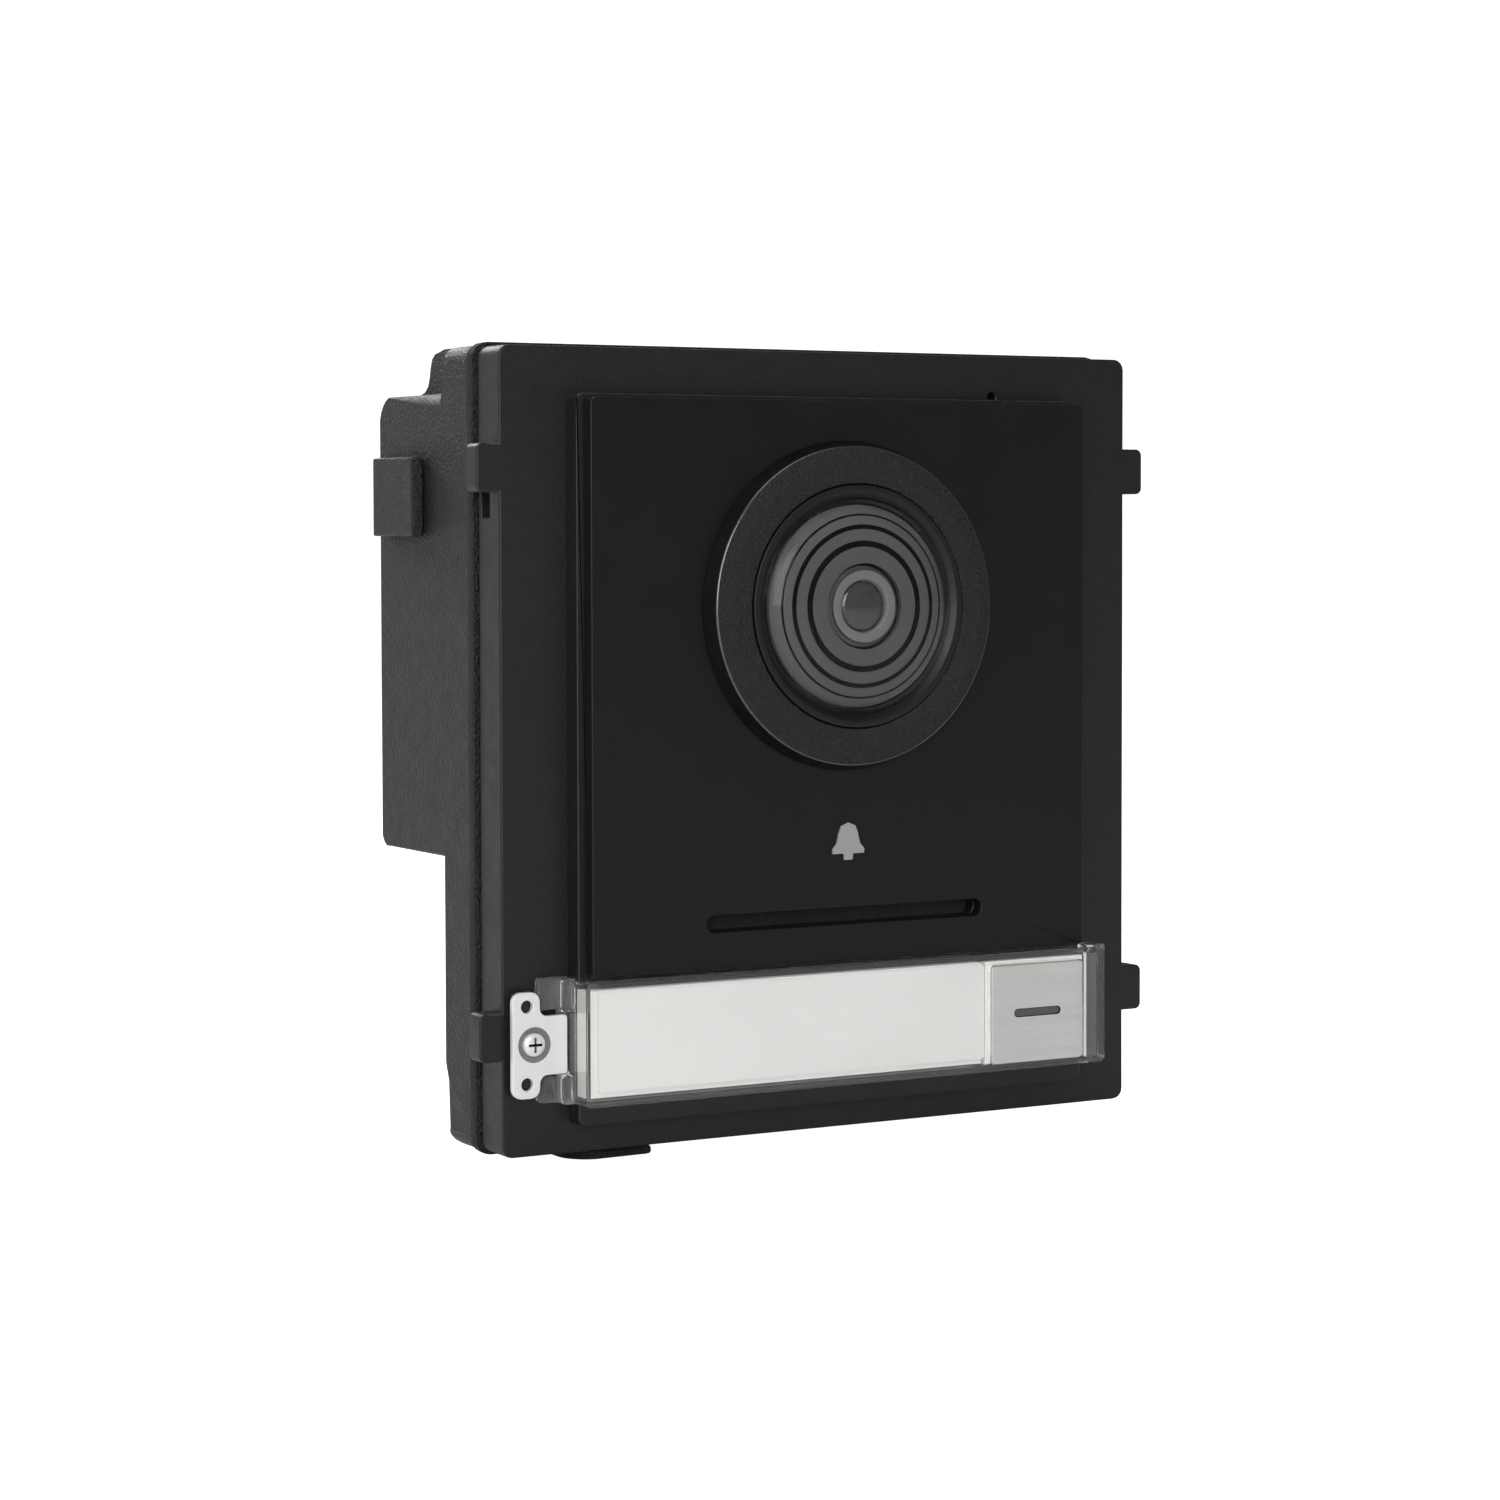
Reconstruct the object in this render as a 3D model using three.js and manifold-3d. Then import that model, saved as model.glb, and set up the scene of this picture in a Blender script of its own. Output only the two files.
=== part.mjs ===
// Door intercom panel: a flush module with a camera, a speaker slot, a lit name plate and a call button.
// Millimetres. X runs right as a caller sees it, Y runs into the wall, Z runs up.
// Everything is laid out from the front face of the frame, which is depth 0. Depths below zero stand out
// towards the caller. The last lines move the module so that its origin is on its flat back face.
import * as THREE from 'three';
import { mergeVertices } from 'three/addons/utils/BufferGeometryUtils.js';
import Module from 'manifold-3d';

const wasm = await Module();
wasm.setup();

// ---------------------------------------------------------------- driving dimensions
const seat = 0.1; // gap between pieces that rest on each other
const slip = 0.15; // gap round a piece that drops into a hole
const cut = 1; // how far a cutting tool runs past the face it opens

const frame = { width: 92, height: 99, depth: 6, wall: 2.2, corner: 1.4 };
const ear = { reach: 3, depth: 3.2, height: 6, rise: 34.6, corner: 0.8 };
const earNotch = { height: 3, depth: 1, front: 2.9, back: 5.4 };
const plinth = { sideMargin: 8.9, topMargin: 5.8, bottomMargin: 3.6, proud: 2.9, wall: 1.8, corner: 1 };
const panel = { thickness: 1.9, sideInset: 1, topInset: 0.5, corner: 0.8 };
const speakerSlot = { length: 40.4, height: 2.1, lift: 6.05 };
const emblem = { width: 4.6, height: 5, thickness: 0.3, lift: 9.6 };
const microphone = { holeRadius: 0.6, sideInset: 12.1, lift: 0.45, radius: 2, length: 2.4, bootWall: 0.8 };

const camera = {
  drop: 26.3, // from the top of the plinth down to the camera's axis
  bezelRadius: 20.8, rimRadius: 20.45, bezelHeight: 2.3, bezelRise: 0.7,
  sleeveRadius: 17.6, sleeveLength: 3.5, throatRadius: 14,
  trimRadius: 15.2, trimHeight: 2.05, trimDepth: 1.9, trimLand: 0.8, trimLip: 1.95,
  windowRadius: 13.4, windowThickness: 0.5, windowBulge: 2.4, windowRecess: 0.65, windowRim: 0.6,
  baffleRadius: 12.3, baffleBore: 5.4, baffleGap: 0.15,
  grooves: [10.2, 8], grooveWidth: 0.6, grooveDepth: 0.35,
  barrelRadius: 5.1, barrelLength: 10.6, barrelMouth: 3.4, lensRadius: 3.1, lensThroat: 2.4, lensDepth: 1.6,
  holderSide: 20, holderLength: 7.9, boardSide: 26, boardThickness: 1, sensorSide: 7, sensorThickness: 0.8,
};

const nameBar = { lift: 2.85, height: 15.2, overhang: 0.8, front: 6.9, face: 1, wall: 0.75, corner: 0.6 };
const barRib = { width: 2.95, inset: 0.1, proud: 0.6, rise: 0.5, drop: 0.4, corner: 0.3 };
const barLug = { reach: 3.8, upperHeight: 4, lowerHeight: 3.4, block: 1.5, blockHeight: 3.3, plate: 0.9 };
const label = { thickness: 0.2, sideMargin: 0.25, topMargin: 0.5, bottomMargin: 0.9 };
const lightGuide = { thickness: 2.4, margin: 0.3 };
const labelWindow = { side: 2.1, edge: 1.8 };
const led = { count: 3, width: 3, height: 1.6, thickness: 0.6 };

const button = { width: 14.05, height: 12.75, rightInset: 3.35, lift: 0.9, corner: 0.4 };
const buttonCap = { front: 7, thickness: 0.8 };
const carrier = { ledge: 0.55, ledgeThickness: 0.9, thickness: 2.2, shoulder: 0.4 };
const dash = { length: 7.1, height: 0.95, setBack: 0.15 };
const callSwitch = { side: 6, height: 1.3, stemRadius: 1, stemLength: 1.2, postRadius: 1.5 };
const keyBoard = { thickness: 1, endMargin: 2, bottomMargin: 0.5 };

const bracket = {
  left: 0.5, thickness: 0.8, width: 3.7, height: 13, lift: 1.0, tongueHeight: 7.2, tongueLift: 3.75,
  corner: 1.2, fillet: 1, tipCorner: 0.4, holeRadius: 0.8, holeInset: 1.75, sideHole: 1.95, dimpleRadius: 2.2,
  dimpleDepth: 0.4,
};
const bracketScrew = {
  headRadius: 1.45, headHeight: 0.75, shankRadius: 0.95, length: 5, side: 2.9, lift: 6.55,
};

const seal = { inset: 0.7, width: 1.3, thickness: 0.5 };
const housing = {
  lipProud: 0.6, lipDepth: 1.6, sideStep: 0.3, wall: 2.1, corner: 2,
  shallowDepth: 16.2, footDepth: 15, footHeight: 8, footSlope: 3, deepDepth: 35.3,
  deepBottom: 35.7, deepTopDrop: 5.3, edgeRadius: 2, topEdgeRadius: 4, backWall: 2,
};
const topWeb = { length: 12.6, riserDepth: 9.6, shelfDepth: 6.5, inset: 2.3 };
const hook = { left: 11.4, width: 11, front: 3.9, reach: 7.6, thickness: 1.05, drop: 0.25, corner: 4 };
const latch = {
  proud: 1.8, depth: 12.3, height: 10, fromBack: 1.7, fromTop: 7.9, pegRadius: 1.45, pegSpacing: 6,
};

const mainBoard = { front: 8.6, thickness: 1.6, margin: 1.2, topMargin: 6.4, corner: 2 };
const rearBoard = { front: 22, thickness: 1.6, margin: 1.5, corner: 1.5 };
const stackConnector = { width: 26, height: 5, lift: 10.3 };
const boardScrew = { headRadius: 1.9, headHeight: 1.1, shankRadius: 1, length: 6, inset: 3, bossRadius: 2.5 };
const housingScrew = {
  headRadius: 2, headHeight: 1.2, shankRadius: 1.2, length: 7, side: 10, end: 4.6,
  bossRadius: 2.3, bossTop: 8, columnRadius: 2.75, columnDepth: 3,
};
const terminal = { poles: 12, pitch: 3.81, height: 9.8, lift: 25.3, side: 12.1, entry: 2.6, entryDepth: 7 };
const jack = { width: 16, height: 13.5, side: 20, port: 11.7, portHeight: 8, portDepth: 10, keyWidth: 6 };
const portSetBack = 0.2; // the sockets' faces lie this far inside the back face
const linkSocket = { width: 11.8, height: 6.8, spacing: 24, drop: 14.2, wall: 1.1, depth: 4.4 };
const tamper = {
  side: 14, drop: 11.2, radius: 1.8, proud: 1.2, travel: 1.2,
  flangeRadius: 2.6, flangeThickness: 1, wall: 1.6,
  switchSide: 6,
};
const ratingPlate = { width: 60, height: 16, thickness: 0.2, recess: 0.3, drop: 12.6, corner: 1 };

// ---------------------------------------------------------------- places worked out from them
const halfWidth = frame.width / 2;
const halfHeight = frame.height / 2;
const plinthSide = halfWidth - plinth.sideMargin;
const plinthTop = halfHeight - plinth.topMargin;
const plinthBottom = plinth.bottomMargin - halfHeight;
const plinthInner = plinth.wall - plinth.proud; // depth of the inside of the plinth's front wall
const panelBack = -plinth.proud - seat;
const panelFront = panelBack - panel.thickness;

const barLeft = -plinthSide - nameBar.overhang;
const barRight = plinthSide + nameBar.overhang;
const barBottom = plinthBottom + nameBar.lift;
const barTop = barBottom + nameBar.height;
const barInside = nameBar.face - nameBar.front;
const panelSide = plinthSide - panel.sideInset;
const panelTop = plinthTop - panel.topInset;
const panelBottom = barTop + 0.25;
const slotHeight = barTop + speakerSlot.lift;

const buttonRight = barRight - button.rightInset;
const buttonLeft = buttonRight - button.width;
const buttonBottom = barBottom + button.lift;
const buttonTop = buttonBottom + button.height;
const buttonX = (buttonLeft + buttonRight) / 2;
const buttonZ = (buttonBottom + buttonTop) / 2;
const labelRight = buttonLeft - carrier.ledge - seat;

const keyBoardFront = plinthInner + 2 * seat + callSwitch.height;
const keyBoardTop = barTop - seat / 2;
const bracketLeft = bracket.left - halfWidth;
const bracketRight = bracketLeft + bracket.width;
const bracketBottom = barBottom + bracket.lift;
const bracketBack = -barLug.plate - 2 * seat;
const bracketFront = bracketBack - bracket.thickness;
const screwX = bracketLeft + bracketScrew.side;
const screwZ = bracketBottom + bracketScrew.lift;

const housingFront = frame.depth + seal.thickness + seat;
const lipSide = halfWidth + housing.lipProud;
const lipEnd = halfHeight + housing.lipProud;
const housingSide = lipSide - housing.sideStep;
const housingEnd = lipEnd - housing.sideStep;
const cavitySide = housingSide - housing.wall;
const cavityEnd = housingEnd - housing.wall;
const deepBottom = housing.deepBottom - halfHeight;
const deepTop = halfHeight - housing.deepTopDrop;
const backInside = housing.deepDepth - housing.backWall;
const shallowInside = housing.footDepth - housing.backWall;

const mainSide = cavitySide - mainBoard.margin;
const mainEnd = cavityEnd - mainBoard.topMargin;
const mainBack = mainBoard.front + mainBoard.thickness;
const rearSide = cavitySide - rearBoard.margin - slip;
const rearTop = deepTop - housing.wall - rearBoard.margin;
const rearBottom = deepBottom + housing.wall + rearBoard.margin - slip;
const rearBack = rearBoard.front + rearBoard.thickness;
const portFace = housing.deepDepth - portSetBack;
const terminalLeft = terminal.side - halfWidth;
const terminalRight = terminalLeft + terminal.poles * terminal.pitch;
const portZ = deepBottom + terminal.lift;
const jackX = halfWidth - jack.side;
const linkZ = deepBottom - linkSocket.drop;
const stackZ = deepBottom + stackConnector.lift;
const ratingZ = deepTop - ratingPlate.drop;
const tamperX = tamper.side - halfWidth;
const tamperZ = deepBottom - tamper.drop;

// ---------------------------------------------------------------- solids
/** A closed geometry as a solid: shared corners joined, slivers dropped, faces turned outwards. */
function solid(geometry) {
  geometry.deleteAttribute('normal');
  geometry.deleteAttribute('uv');
  const merged = mergeVertices(geometry);
  const points = merged.attributes.position.array;
  const corners = merged.index.array;
  const triangles = [];
  const [a, b, c] = [new THREE.Vector3(), new THREE.Vector3(), new THREE.Vector3()];
  let volume = 0;
  for (let i = 0; i < corners.length; i += 3) {
    const [p, q, r] = corners.slice(i, i + 3);
    if (p === q || q === r || r === p) continue;
    triangles.push(p, q, r);
    volume += a.fromArray(points, 3 * p).dot(b.fromArray(points, 3 * q).cross(c.fromArray(points, 3 * r)));
  }
  if (volume < 0) triangles.reverse();
  return new wasm.Manifold(new wasm.Mesh({
    numProp: 3,
    vertProperties: new Float32Array(points),
    triVerts: new Uint32Array(triangles),
  }));
}

/** Turns a shape drawn as (x, z) and extruded so that it stands upright and runs along the depth. */
const upright = new THREE.Matrix4().set(1, 0, 0, 0, 0, 0, -1, 0, 0, 1, 0, 0, 0, 0, 0, 1);

/** A front-view outline filled from one depth to another, with its edges rounded over if asked. */
function plate(outline, front, back, round = 0, smoothness = 2) {
  const geometry = new THREE.ExtrudeGeometry(outline, {
    depth: back - front - 2 * round,
    bevelEnabled: round > 0,
    bevelSize: round,
    bevelThickness: round,
    bevelOffset: -round,
    bevelSegments: 2,
    curveSegments: smoothness,
  });
  geometry.applyMatrix4(upright);
  geometry.translate(0, back - round, 0);
  return solid(geometry);
}

/** A rectangle with rounded corners, from its left, bottom, right and top. */
function roundedRect(left, bottom, right, top, radius) {
  const r = Math.min(radius, (right - left) / 2, (top - bottom) / 2);
  const outline = new THREE.Shape();
  outline.moveTo(left + r, bottom);
  outline.lineTo(right - r, bottom);
  outline.absarc(right - r, bottom + r, r, -Math.PI / 2, 0);
  outline.lineTo(right, top - r);
  outline.absarc(right - r, top - r, r, 0, Math.PI / 2);
  outline.lineTo(left + r, top);
  outline.absarc(left + r, top - r, r, Math.PI / 2, Math.PI);
  outline.lineTo(left, bottom + r);
  outline.absarc(left + r, bottom + r, r, Math.PI, 1.5 * Math.PI);
  return outline;
}

/** The same rectangle given by its middle and its size. */
function centredRect(x, z, width, height, radius) {
  return roundedRect(x - width / 2, z - height / 2, x + width / 2, z + height / 2, radius);
}

/** A box from its six limits. */
function box(left, right, front, back, bottom, top) {
  const geometry = new THREE.BoxGeometry(right - left, back - front, top - bottom);
  geometry.translate((left + right) / 2, (front + back) / 2, (bottom + top) / 2);
  return solid(geometry);
}

/** A round bar along the depth. */
function rod(x, z, radius, front, back, sides = 24) {
  const geometry = new THREE.CylinderGeometry(radius, radius, back - front, sides);
  geometry.translate(x, (front + back) / 2, z);
  return solid(geometry);
}

/** A profile of (radius, depth) points turned round the depth axis. */
function turned(profile, sides = 36) {
  return solid(new THREE.LatheGeometry(profile.map(([r, y]) => new THREE.Vector2(r, y)), sides));
}

/** A closed profile for a ring, which ends where it starts. */
function ring(profile, sides = 36) {
  return turned([...profile, profile[0]], sides);
}

/** Every mix of the given x and z values with both signs. */
function fourCorners(x, z) {
  return [[-x, z], [x, z], [-x, -z], [x, -z]];
}

const join = (first, ...others) => others.reduce((body, other) => body.add(other), first);
const drill = (first, ...others) => others.reduce((body, other) => body.subtract(other), first);

// ---------------------------------------------------------------- finishes and nodes
function finish(color, roughness, metalness = 0, opacity = 1) {
  const look = { color, roughness, metalness, opacity, transparent: opacity < 1 };
  return () => new THREE.MeshStandardMaterial(look);
}
const grainedBlack = finish(0x1d1d1f, 0.62);
const satinBlack = finish(0x18181a, 0.5);
const glossBlack = finish(0x0b0b0c, 0.12);
const baffleGrey = finish(0x3a3a3c, 0.55);
const clearPlastic = finish(0xdfe4e6, 0.08, 0, 0.35);
const lensGlass = finish(0x20262b, 0.03, 0, 0.5);
const whiteFilm = finish(0xe6e4e1, 0.6);
const milkyPlastic = finish(0xf2f2ee, 0.35);
const brushedSteel = finish(0xb9b7b3, 0.34, 1);
const zincSteel = finish(0xc4c4c0, 0.4, 1);
const paleSilver = finish(0xa8a8aa, 0.4, 0.8);
const darkInlay = finish(0x8e8e90, 0.4);
const blackRubber = finish(0x141414, 0.85);
const circuitGreen = finish(0x1f5a36, 0.5);
const connectorBlack = finish(0x1a1a1a, 0.45);
const connectorGreen = finish(0x2f8a4a, 0.45);
const chipBlack = finish(0x222224, 0.5);

/** Wraps a solid as a named mesh in its group. */
function addPiece(group, name, body, material, place = [0, 0, 0]) {
  const { vertProperties, triVerts } = body.getMesh();
  const geometry = new THREE.BufferGeometry();
  geometry.setAttribute('position', new THREE.BufferAttribute(vertProperties, 3));
  geometry.setIndex(new THREE.BufferAttribute(triVerts, 1));
  geometry.computeVertexNormals();
  const mesh = new THREE.Mesh(geometry, material());
  mesh.name = name;
  mesh.position.set(...place);
  group.add(mesh);
}

const front = new THREE.Group();
const cameraGroup = new THREE.Group();
const namePlate = new THREE.Group();
const rear = new THREE.Group();
const electronics = new THREE.Group();
const cameraZ = plinthTop - camera.drop;
cameraGroup.position.z = cameraZ;

// ---------------------------------------------------------------- fixing points
const boardBosses = fourCorners(mainSide - boardScrew.inset, mainEnd - boardScrew.inset);
const housingBosses = fourCorners(halfWidth - housingScrew.side, halfHeight - housingScrew.end);
const rearBosses = [-1, 1].flatMap((side) => [
  [side * (rearSide - boardScrew.inset), rearBottom + boardScrew.inset],
  [side * (rearSide - boardScrew.inset), rearTop - boardScrew.inset],
]);
const shankHole = boardScrew.shankRadius + seat;
const micX = plinthSide - microphone.sideInset;
const micZ = plinthTop + microphone.lift;

// ---------------------------------------------------------------- front frame
/** Shell with the raised plinth, the four ears, the bracket pad and the bosses behind its face. */
function frontFrame() {
  const outline = centredRect(0, 0, frame.width, frame.height, frame.corner);
  const plinthOutline = roundedRect(-plinthSide, plinthBottom, plinthSide, plinthTop, plinth.corner);
  const inset = frame.wall;
  const hollow = centredRect(0, 0, frame.width - 2 * inset, frame.height - 2 * inset,
    frame.corner - inset / 2);
  const w = plinth.wall;
  const plinthHollow = roundedRect(w - plinthSide, plinthBottom + w, plinthSide - w, plinthTop - w, 0.5);
  let body = join(
    plate(outline, 0, frame.depth),
    plate(plinthOutline, -plinth.proud, frame.wall / 2),
    box(bracketLeft + 0.3, bracketRight - 0.1, bracketBack + seat, cut, bracketBottom + 0.2,
      bracketBottom + bracket.height - 0.2),
  );
  for (const [x, z] of fourCorners(halfWidth, ear.rise)) {
    body = body.add(plate(centredRect(x, z, 2 * ear.reach, ear.height, ear.corner), 0, ear.depth));
  }
  body = drill(
    body,
    plate(hollow, frame.wall, frame.depth + cut),
    plate(plinthHollow, plinthInner, frame.wall + cut),
  );
  for (const [x, z] of boardBosses) {
    body = body.add(rod(x, z, boardScrew.bossRadius, frame.wall / 2, mainBoard.front - seat, 16));
  }
  for (const [x, z] of housingBosses) {
    body = body.add(rod(x, z, housingScrew.bossRadius, frame.wall / 2, housingScrew.bossTop, 16));
  }
  for (const side of [-1, 1]) {
    for (const z of [keyBoardTop - 1.1, barBottom + 1.2]) {
      body = body.add(rod(side * (plinthSide - 5), z, 0.9, plinthInner - 0.5, keyBoardFront - seat, 12));
    }
    const notchTop = ear.rise - ear.height / 2;
    const outer = side * (halfWidth + cut);
    const inner = side * (halfWidth - earNotch.depth);
    body = body.subtract(box(Math.min(outer, inner), Math.max(outer, inner), earNotch.front, earNotch.back,
      notchTop - earNotch.height, notchTop));
  }
  body = body.add(rod(screwX, screwZ, 2, frame.wall / 2, bracketScrew.length, 16));
  for (const [x, z] of boardBosses) {
    body = body.subtract(rod(x, z, shankHole, frame.wall + 0.5, mainBoard.front + cut, 12));
  }
  for (const [x, z] of housingBosses) {
    body = body.subtract(rod(x, z, housingScrew.shankRadius + seat, frame.wall + 0.5,
      housingScrew.bossTop + cut, 12));
  }
  return drill(
    body,
    rod(0, cameraZ, camera.sleeveRadius + slip, -plinth.proud - cut, frame.wall + cut, 36),
    plate(slotOutline(0), -plinth.proud - cut, frame.wall),
    rod(micX, micZ, microphone.holeRadius, -plinth.proud - cut, frame.wall + cut, 12),
    rod(buttonX, buttonZ, callSwitch.postRadius + 0.5, -plinth.proud - cut, frame.wall, 16),
    box(barLeft + nameBar.overhang + labelWindow.side, labelRight - labelWindow.edge, -plinth.proud - cut,
      frame.wall, barBottom + labelWindow.edge + nameBar.wall, barTop - labelWindow.edge - nameBar.wall / 2),
    rod(screwX, screwZ, bracketScrew.shankRadius + seat, bracketBack - cut, bracketScrew.length + cut, 12),
  );
}

/** The speaker slot, grown by a margin. */
function slotOutline(grow) {
  const height = speakerSlot.height + 2 * grow;
  return centredRect(0, slotHeight, speakerSlot.length + 2 * grow, height, height / 2);
}

addPiece(front, 'front_frame', frontFrame(), satinBlack);

// ---------------------------------------------------------------- glossy panel and emblem
/** Flat cover plate with the camera opening and the speaker slot. */
function frontPanel() {
  return drill(
    plate(roundedRect(-panelSide, panelBottom, panelSide, panelTop, panel.corner), panelFront, panelBack),
    rod(0, cameraZ, camera.sleeveRadius + slip, panelFront - cut, panelBack + cut, 36),
    plate(slotOutline(0), panelFront - cut, panelBack + cut, 0, 5),
  );
}
addPiece(front, 'front_panel', frontPanel(), glossBlack);

/** A plain bell sign: dome, flared rim and clapper. */
function bellOutline() {
  const [w, h] = [emblem.width / 2, emblem.height];
  const foot = slotHeight + emblem.lift - h / 2;
  const outline = new THREE.Shape();
  outline.moveTo(-0.25 * w, foot);
  outline.lineTo(0.25 * w, foot);
  outline.lineTo(0.3 * w, foot + 0.16 * h);
  outline.lineTo(w, foot + 0.16 * h);
  outline.lineTo(w, foot + 0.28 * h);
  outline.quadraticCurveTo(0.66 * w, foot + 0.38 * h, 0.62 * w, foot + 0.62 * h);
  outline.absarc(0, foot + 0.66 * h, 0.62 * w, 0, Math.PI);
  outline.quadraticCurveTo(-0.66 * w, foot + 0.38 * h, -w, foot + 0.28 * h);
  outline.lineTo(-w, foot + 0.16 * h);
  outline.lineTo(-0.3 * w, foot + 0.16 * h);
  return outline;
}
addPiece(front, 'bell_emblem',
  plate(bellOutline(), panelFront - emblem.thickness, panelFront - 0.02), paleSilver);

// ---------------------------------------------------------------- camera, turned round its own axis
const bezelBack = panelFront - 0.05;
const bezelRim = bezelBack - camera.bezelHeight;
const bezelTop = bezelRim - camera.bezelRise;
const trimBack = bezelTop + camera.trimDepth;
const trimFront = trimBack - camera.trimHeight;
const windowEdge = trimFront + camera.windowRecess;
const windowBack = windowEdge + camera.windowThickness;
const windowApex = windowEdge - camera.windowBulge;
const windowInner = camera.windowRadius - camera.windowRim;
const barrelFront = windowApex + camera.windowThickness + 0.25;
const barrelBack = barrelFront + camera.barrelLength;
const holderFront = barrelBack - 2;

/** Raised ring round the camera, with the sleeve that passes through the panel and the plinth. */
function cameraBezel() {
  const c = camera;
  const seatRadius = c.trimRadius + slip;
  return ring([
    [c.sleeveRadius, bezelBack], [c.bezelRadius, bezelBack], [c.rimRadius + 0.1, bezelRim],
    [c.rimRadius - 0.15, bezelRim - 0.12], [c.sleeveRadius, bezelTop + 0.15], [seatRadius, bezelTop],
    [seatRadius, trimBack + seat], [c.throatRadius, trimBack + seat],
    [c.throatRadius, bezelBack + c.sleeveLength], [c.sleeveRadius, bezelBack + c.sleeveLength],
  ], 48);
}
addPiece(cameraGroup, 'camera_bezel', cameraBezel(), grainedBlack);

/** Ring that holds the clear window, with a lip under the window and the baffle. */
function cameraTrimRing() {
  const c = camera;
  const bore = c.windowRadius + slip;
  const lipTop = windowBack + seat;
  return ring([
    [c.trimRadius, trimBack], [c.trimRadius, trimFront + 0.1], [c.trimRadius - 0.1, trimFront],
    [c.trimRadius - c.trimLand, trimFront], [bore, windowEdge], [bore, lipTop], [bore - c.trimLip, lipTop],
    [bore - c.trimLip, trimBack],
  ], 48);
}
addPiece(cameraGroup, 'camera_trim_ring', cameraTrimRing(), satinBlack);

/** How far a flat-topped dome has risen at a share of its radius, from 0 at the rim to 1 in the middle. */
const domeRise = (share) => (1 - share ** 3) ** (1 / 3);

/** Depth of the inside of the window at a radius. */
function windowInside(radius) {
  const rise = windowBack - windowApex - camera.windowThickness;
  return windowBack - rise * domeRise(radius / windowInner);
}

/** Clear window, bulging towards the caller. */
function cameraWindow() {
  const shares = [1, 0.98, 0.92, 0.8, 0.6, 0.35, 0];
  const inside = shares.map((share) => [share * windowInner, windowInside(share * windowInner)]);
  const outside = shares.map((share) => [
    share * camera.windowRadius, windowEdge - camera.windowBulge * domeRise(share),
  ]);
  return turned([...inside.reverse(), [camera.windowRadius, windowBack], ...outside], 48);
}
addPiece(cameraGroup, 'camera_window', cameraWindow(), clearPlastic);

/** Grooved cone behind the window, rising towards the lens. */
function cameraBaffle() {
  const c = camera;
  const top = (radius) => windowInside(radius) + c.baffleGap;
  const profile = [[c.baffleRadius, windowBack], [c.baffleRadius, top(c.baffleRadius)]];
  for (const radius of c.grooves) {
    const [outer, inner] = [radius + c.grooveWidth / 2, radius - c.grooveWidth / 2];
    const floor = top(inner) + c.grooveDepth;
    profile.push([outer, top(outer)], [outer, floor], [inner, floor], [inner, top(inner)]);
  }
  profile.push([c.baffleBore, top(c.baffleBore)], [c.baffleBore, top(c.baffleBore) + 0.8],
    [c.baffleRadius - 1.3, windowBack - 0.4], [c.baffleRadius - 1.3, windowBack]);
  return ring(profile);
}
addPiece(cameraGroup, 'camera_baffle', cameraBaffle(), baffleGrey);

/** Lens barrel with a step that seats the front element just inside its mouth. */
const lensSeat = barrelFront + camera.lensDepth;
function lensBarrel() {
  const c = camera;
  return ring([
    [c.barrelRadius, barrelBack], [c.barrelRadius, barrelFront], [c.barrelMouth, barrelFront],
    [c.lensRadius + seat, barrelFront + 0.4], [c.lensRadius + seat, lensSeat], [c.lensThroat, lensSeat],
    [c.lensThroat, barrelBack],
  ]);
}
addPiece(cameraGroup, 'lens_barrel', lensBarrel(), baffleGrey);

/** Domed front glass of the wide-angle lens. */
function lensFrontElement() {
  const r = camera.lensRadius;
  const base = lensSeat - seat;
  const shoulder = base - 0.8;
  const crown = 0.6;
  const profile = [[0, base], [r, base], [r, shoulder]];
  for (const share of [0.75, 0.5, 0.25, 0]) {
    profile.push([r * share, shoulder - crown * (1 - share ** 2)]);
  }
  return turned(profile, 24);
}
addPiece(cameraGroup, 'lens_front_element', lensFrontElement(), lensGlass);

const holderBack = holderFront + camera.holderLength;
addPiece(cameraGroup, 'lens_holder', drill(
  plate(centredRect(0, 0, camera.holderSide, camera.holderSide, 1.5), holderFront, holderBack),
  rod(0, 0, camera.barrelRadius + seat, holderFront - cut, holderBack + cut, 24),
), satinBlack);
const sensorBoardFront = holderBack + seat;
addPiece(cameraGroup, 'sensor_board', plate(
  centredRect(0, 0, camera.boardSide, camera.boardSide, 1),
  sensorBoardFront, sensorBoardFront + camera.boardThickness,
), circuitGreen);
addPiece(cameraGroup, 'image_sensor', plate(
  centredRect(0, 0, camera.sensorSide, camera.sensorSide, 0.2),
  sensorBoardFront - seat - camera.sensorThickness, sensorBoardFront - seat,
), chipBlack);

// ---------------------------------------------------------------- speaker and microphone
const speaker = {
  width: 44.4, height: 24.6, corner: 3, flange: 1.2, basket: 3, magnetRadius: 7, magnet: 2.1,
};
const speakerZ = slotHeight + 7;
const gasketBack = plinthInner + seat + 1.1;
const speakerFront = gasketBack + seat;
function speakerOutline(grow) {
  return centredRect(0, speakerZ, speaker.width + grow, speaker.height + grow, speaker.corner);
}

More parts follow.
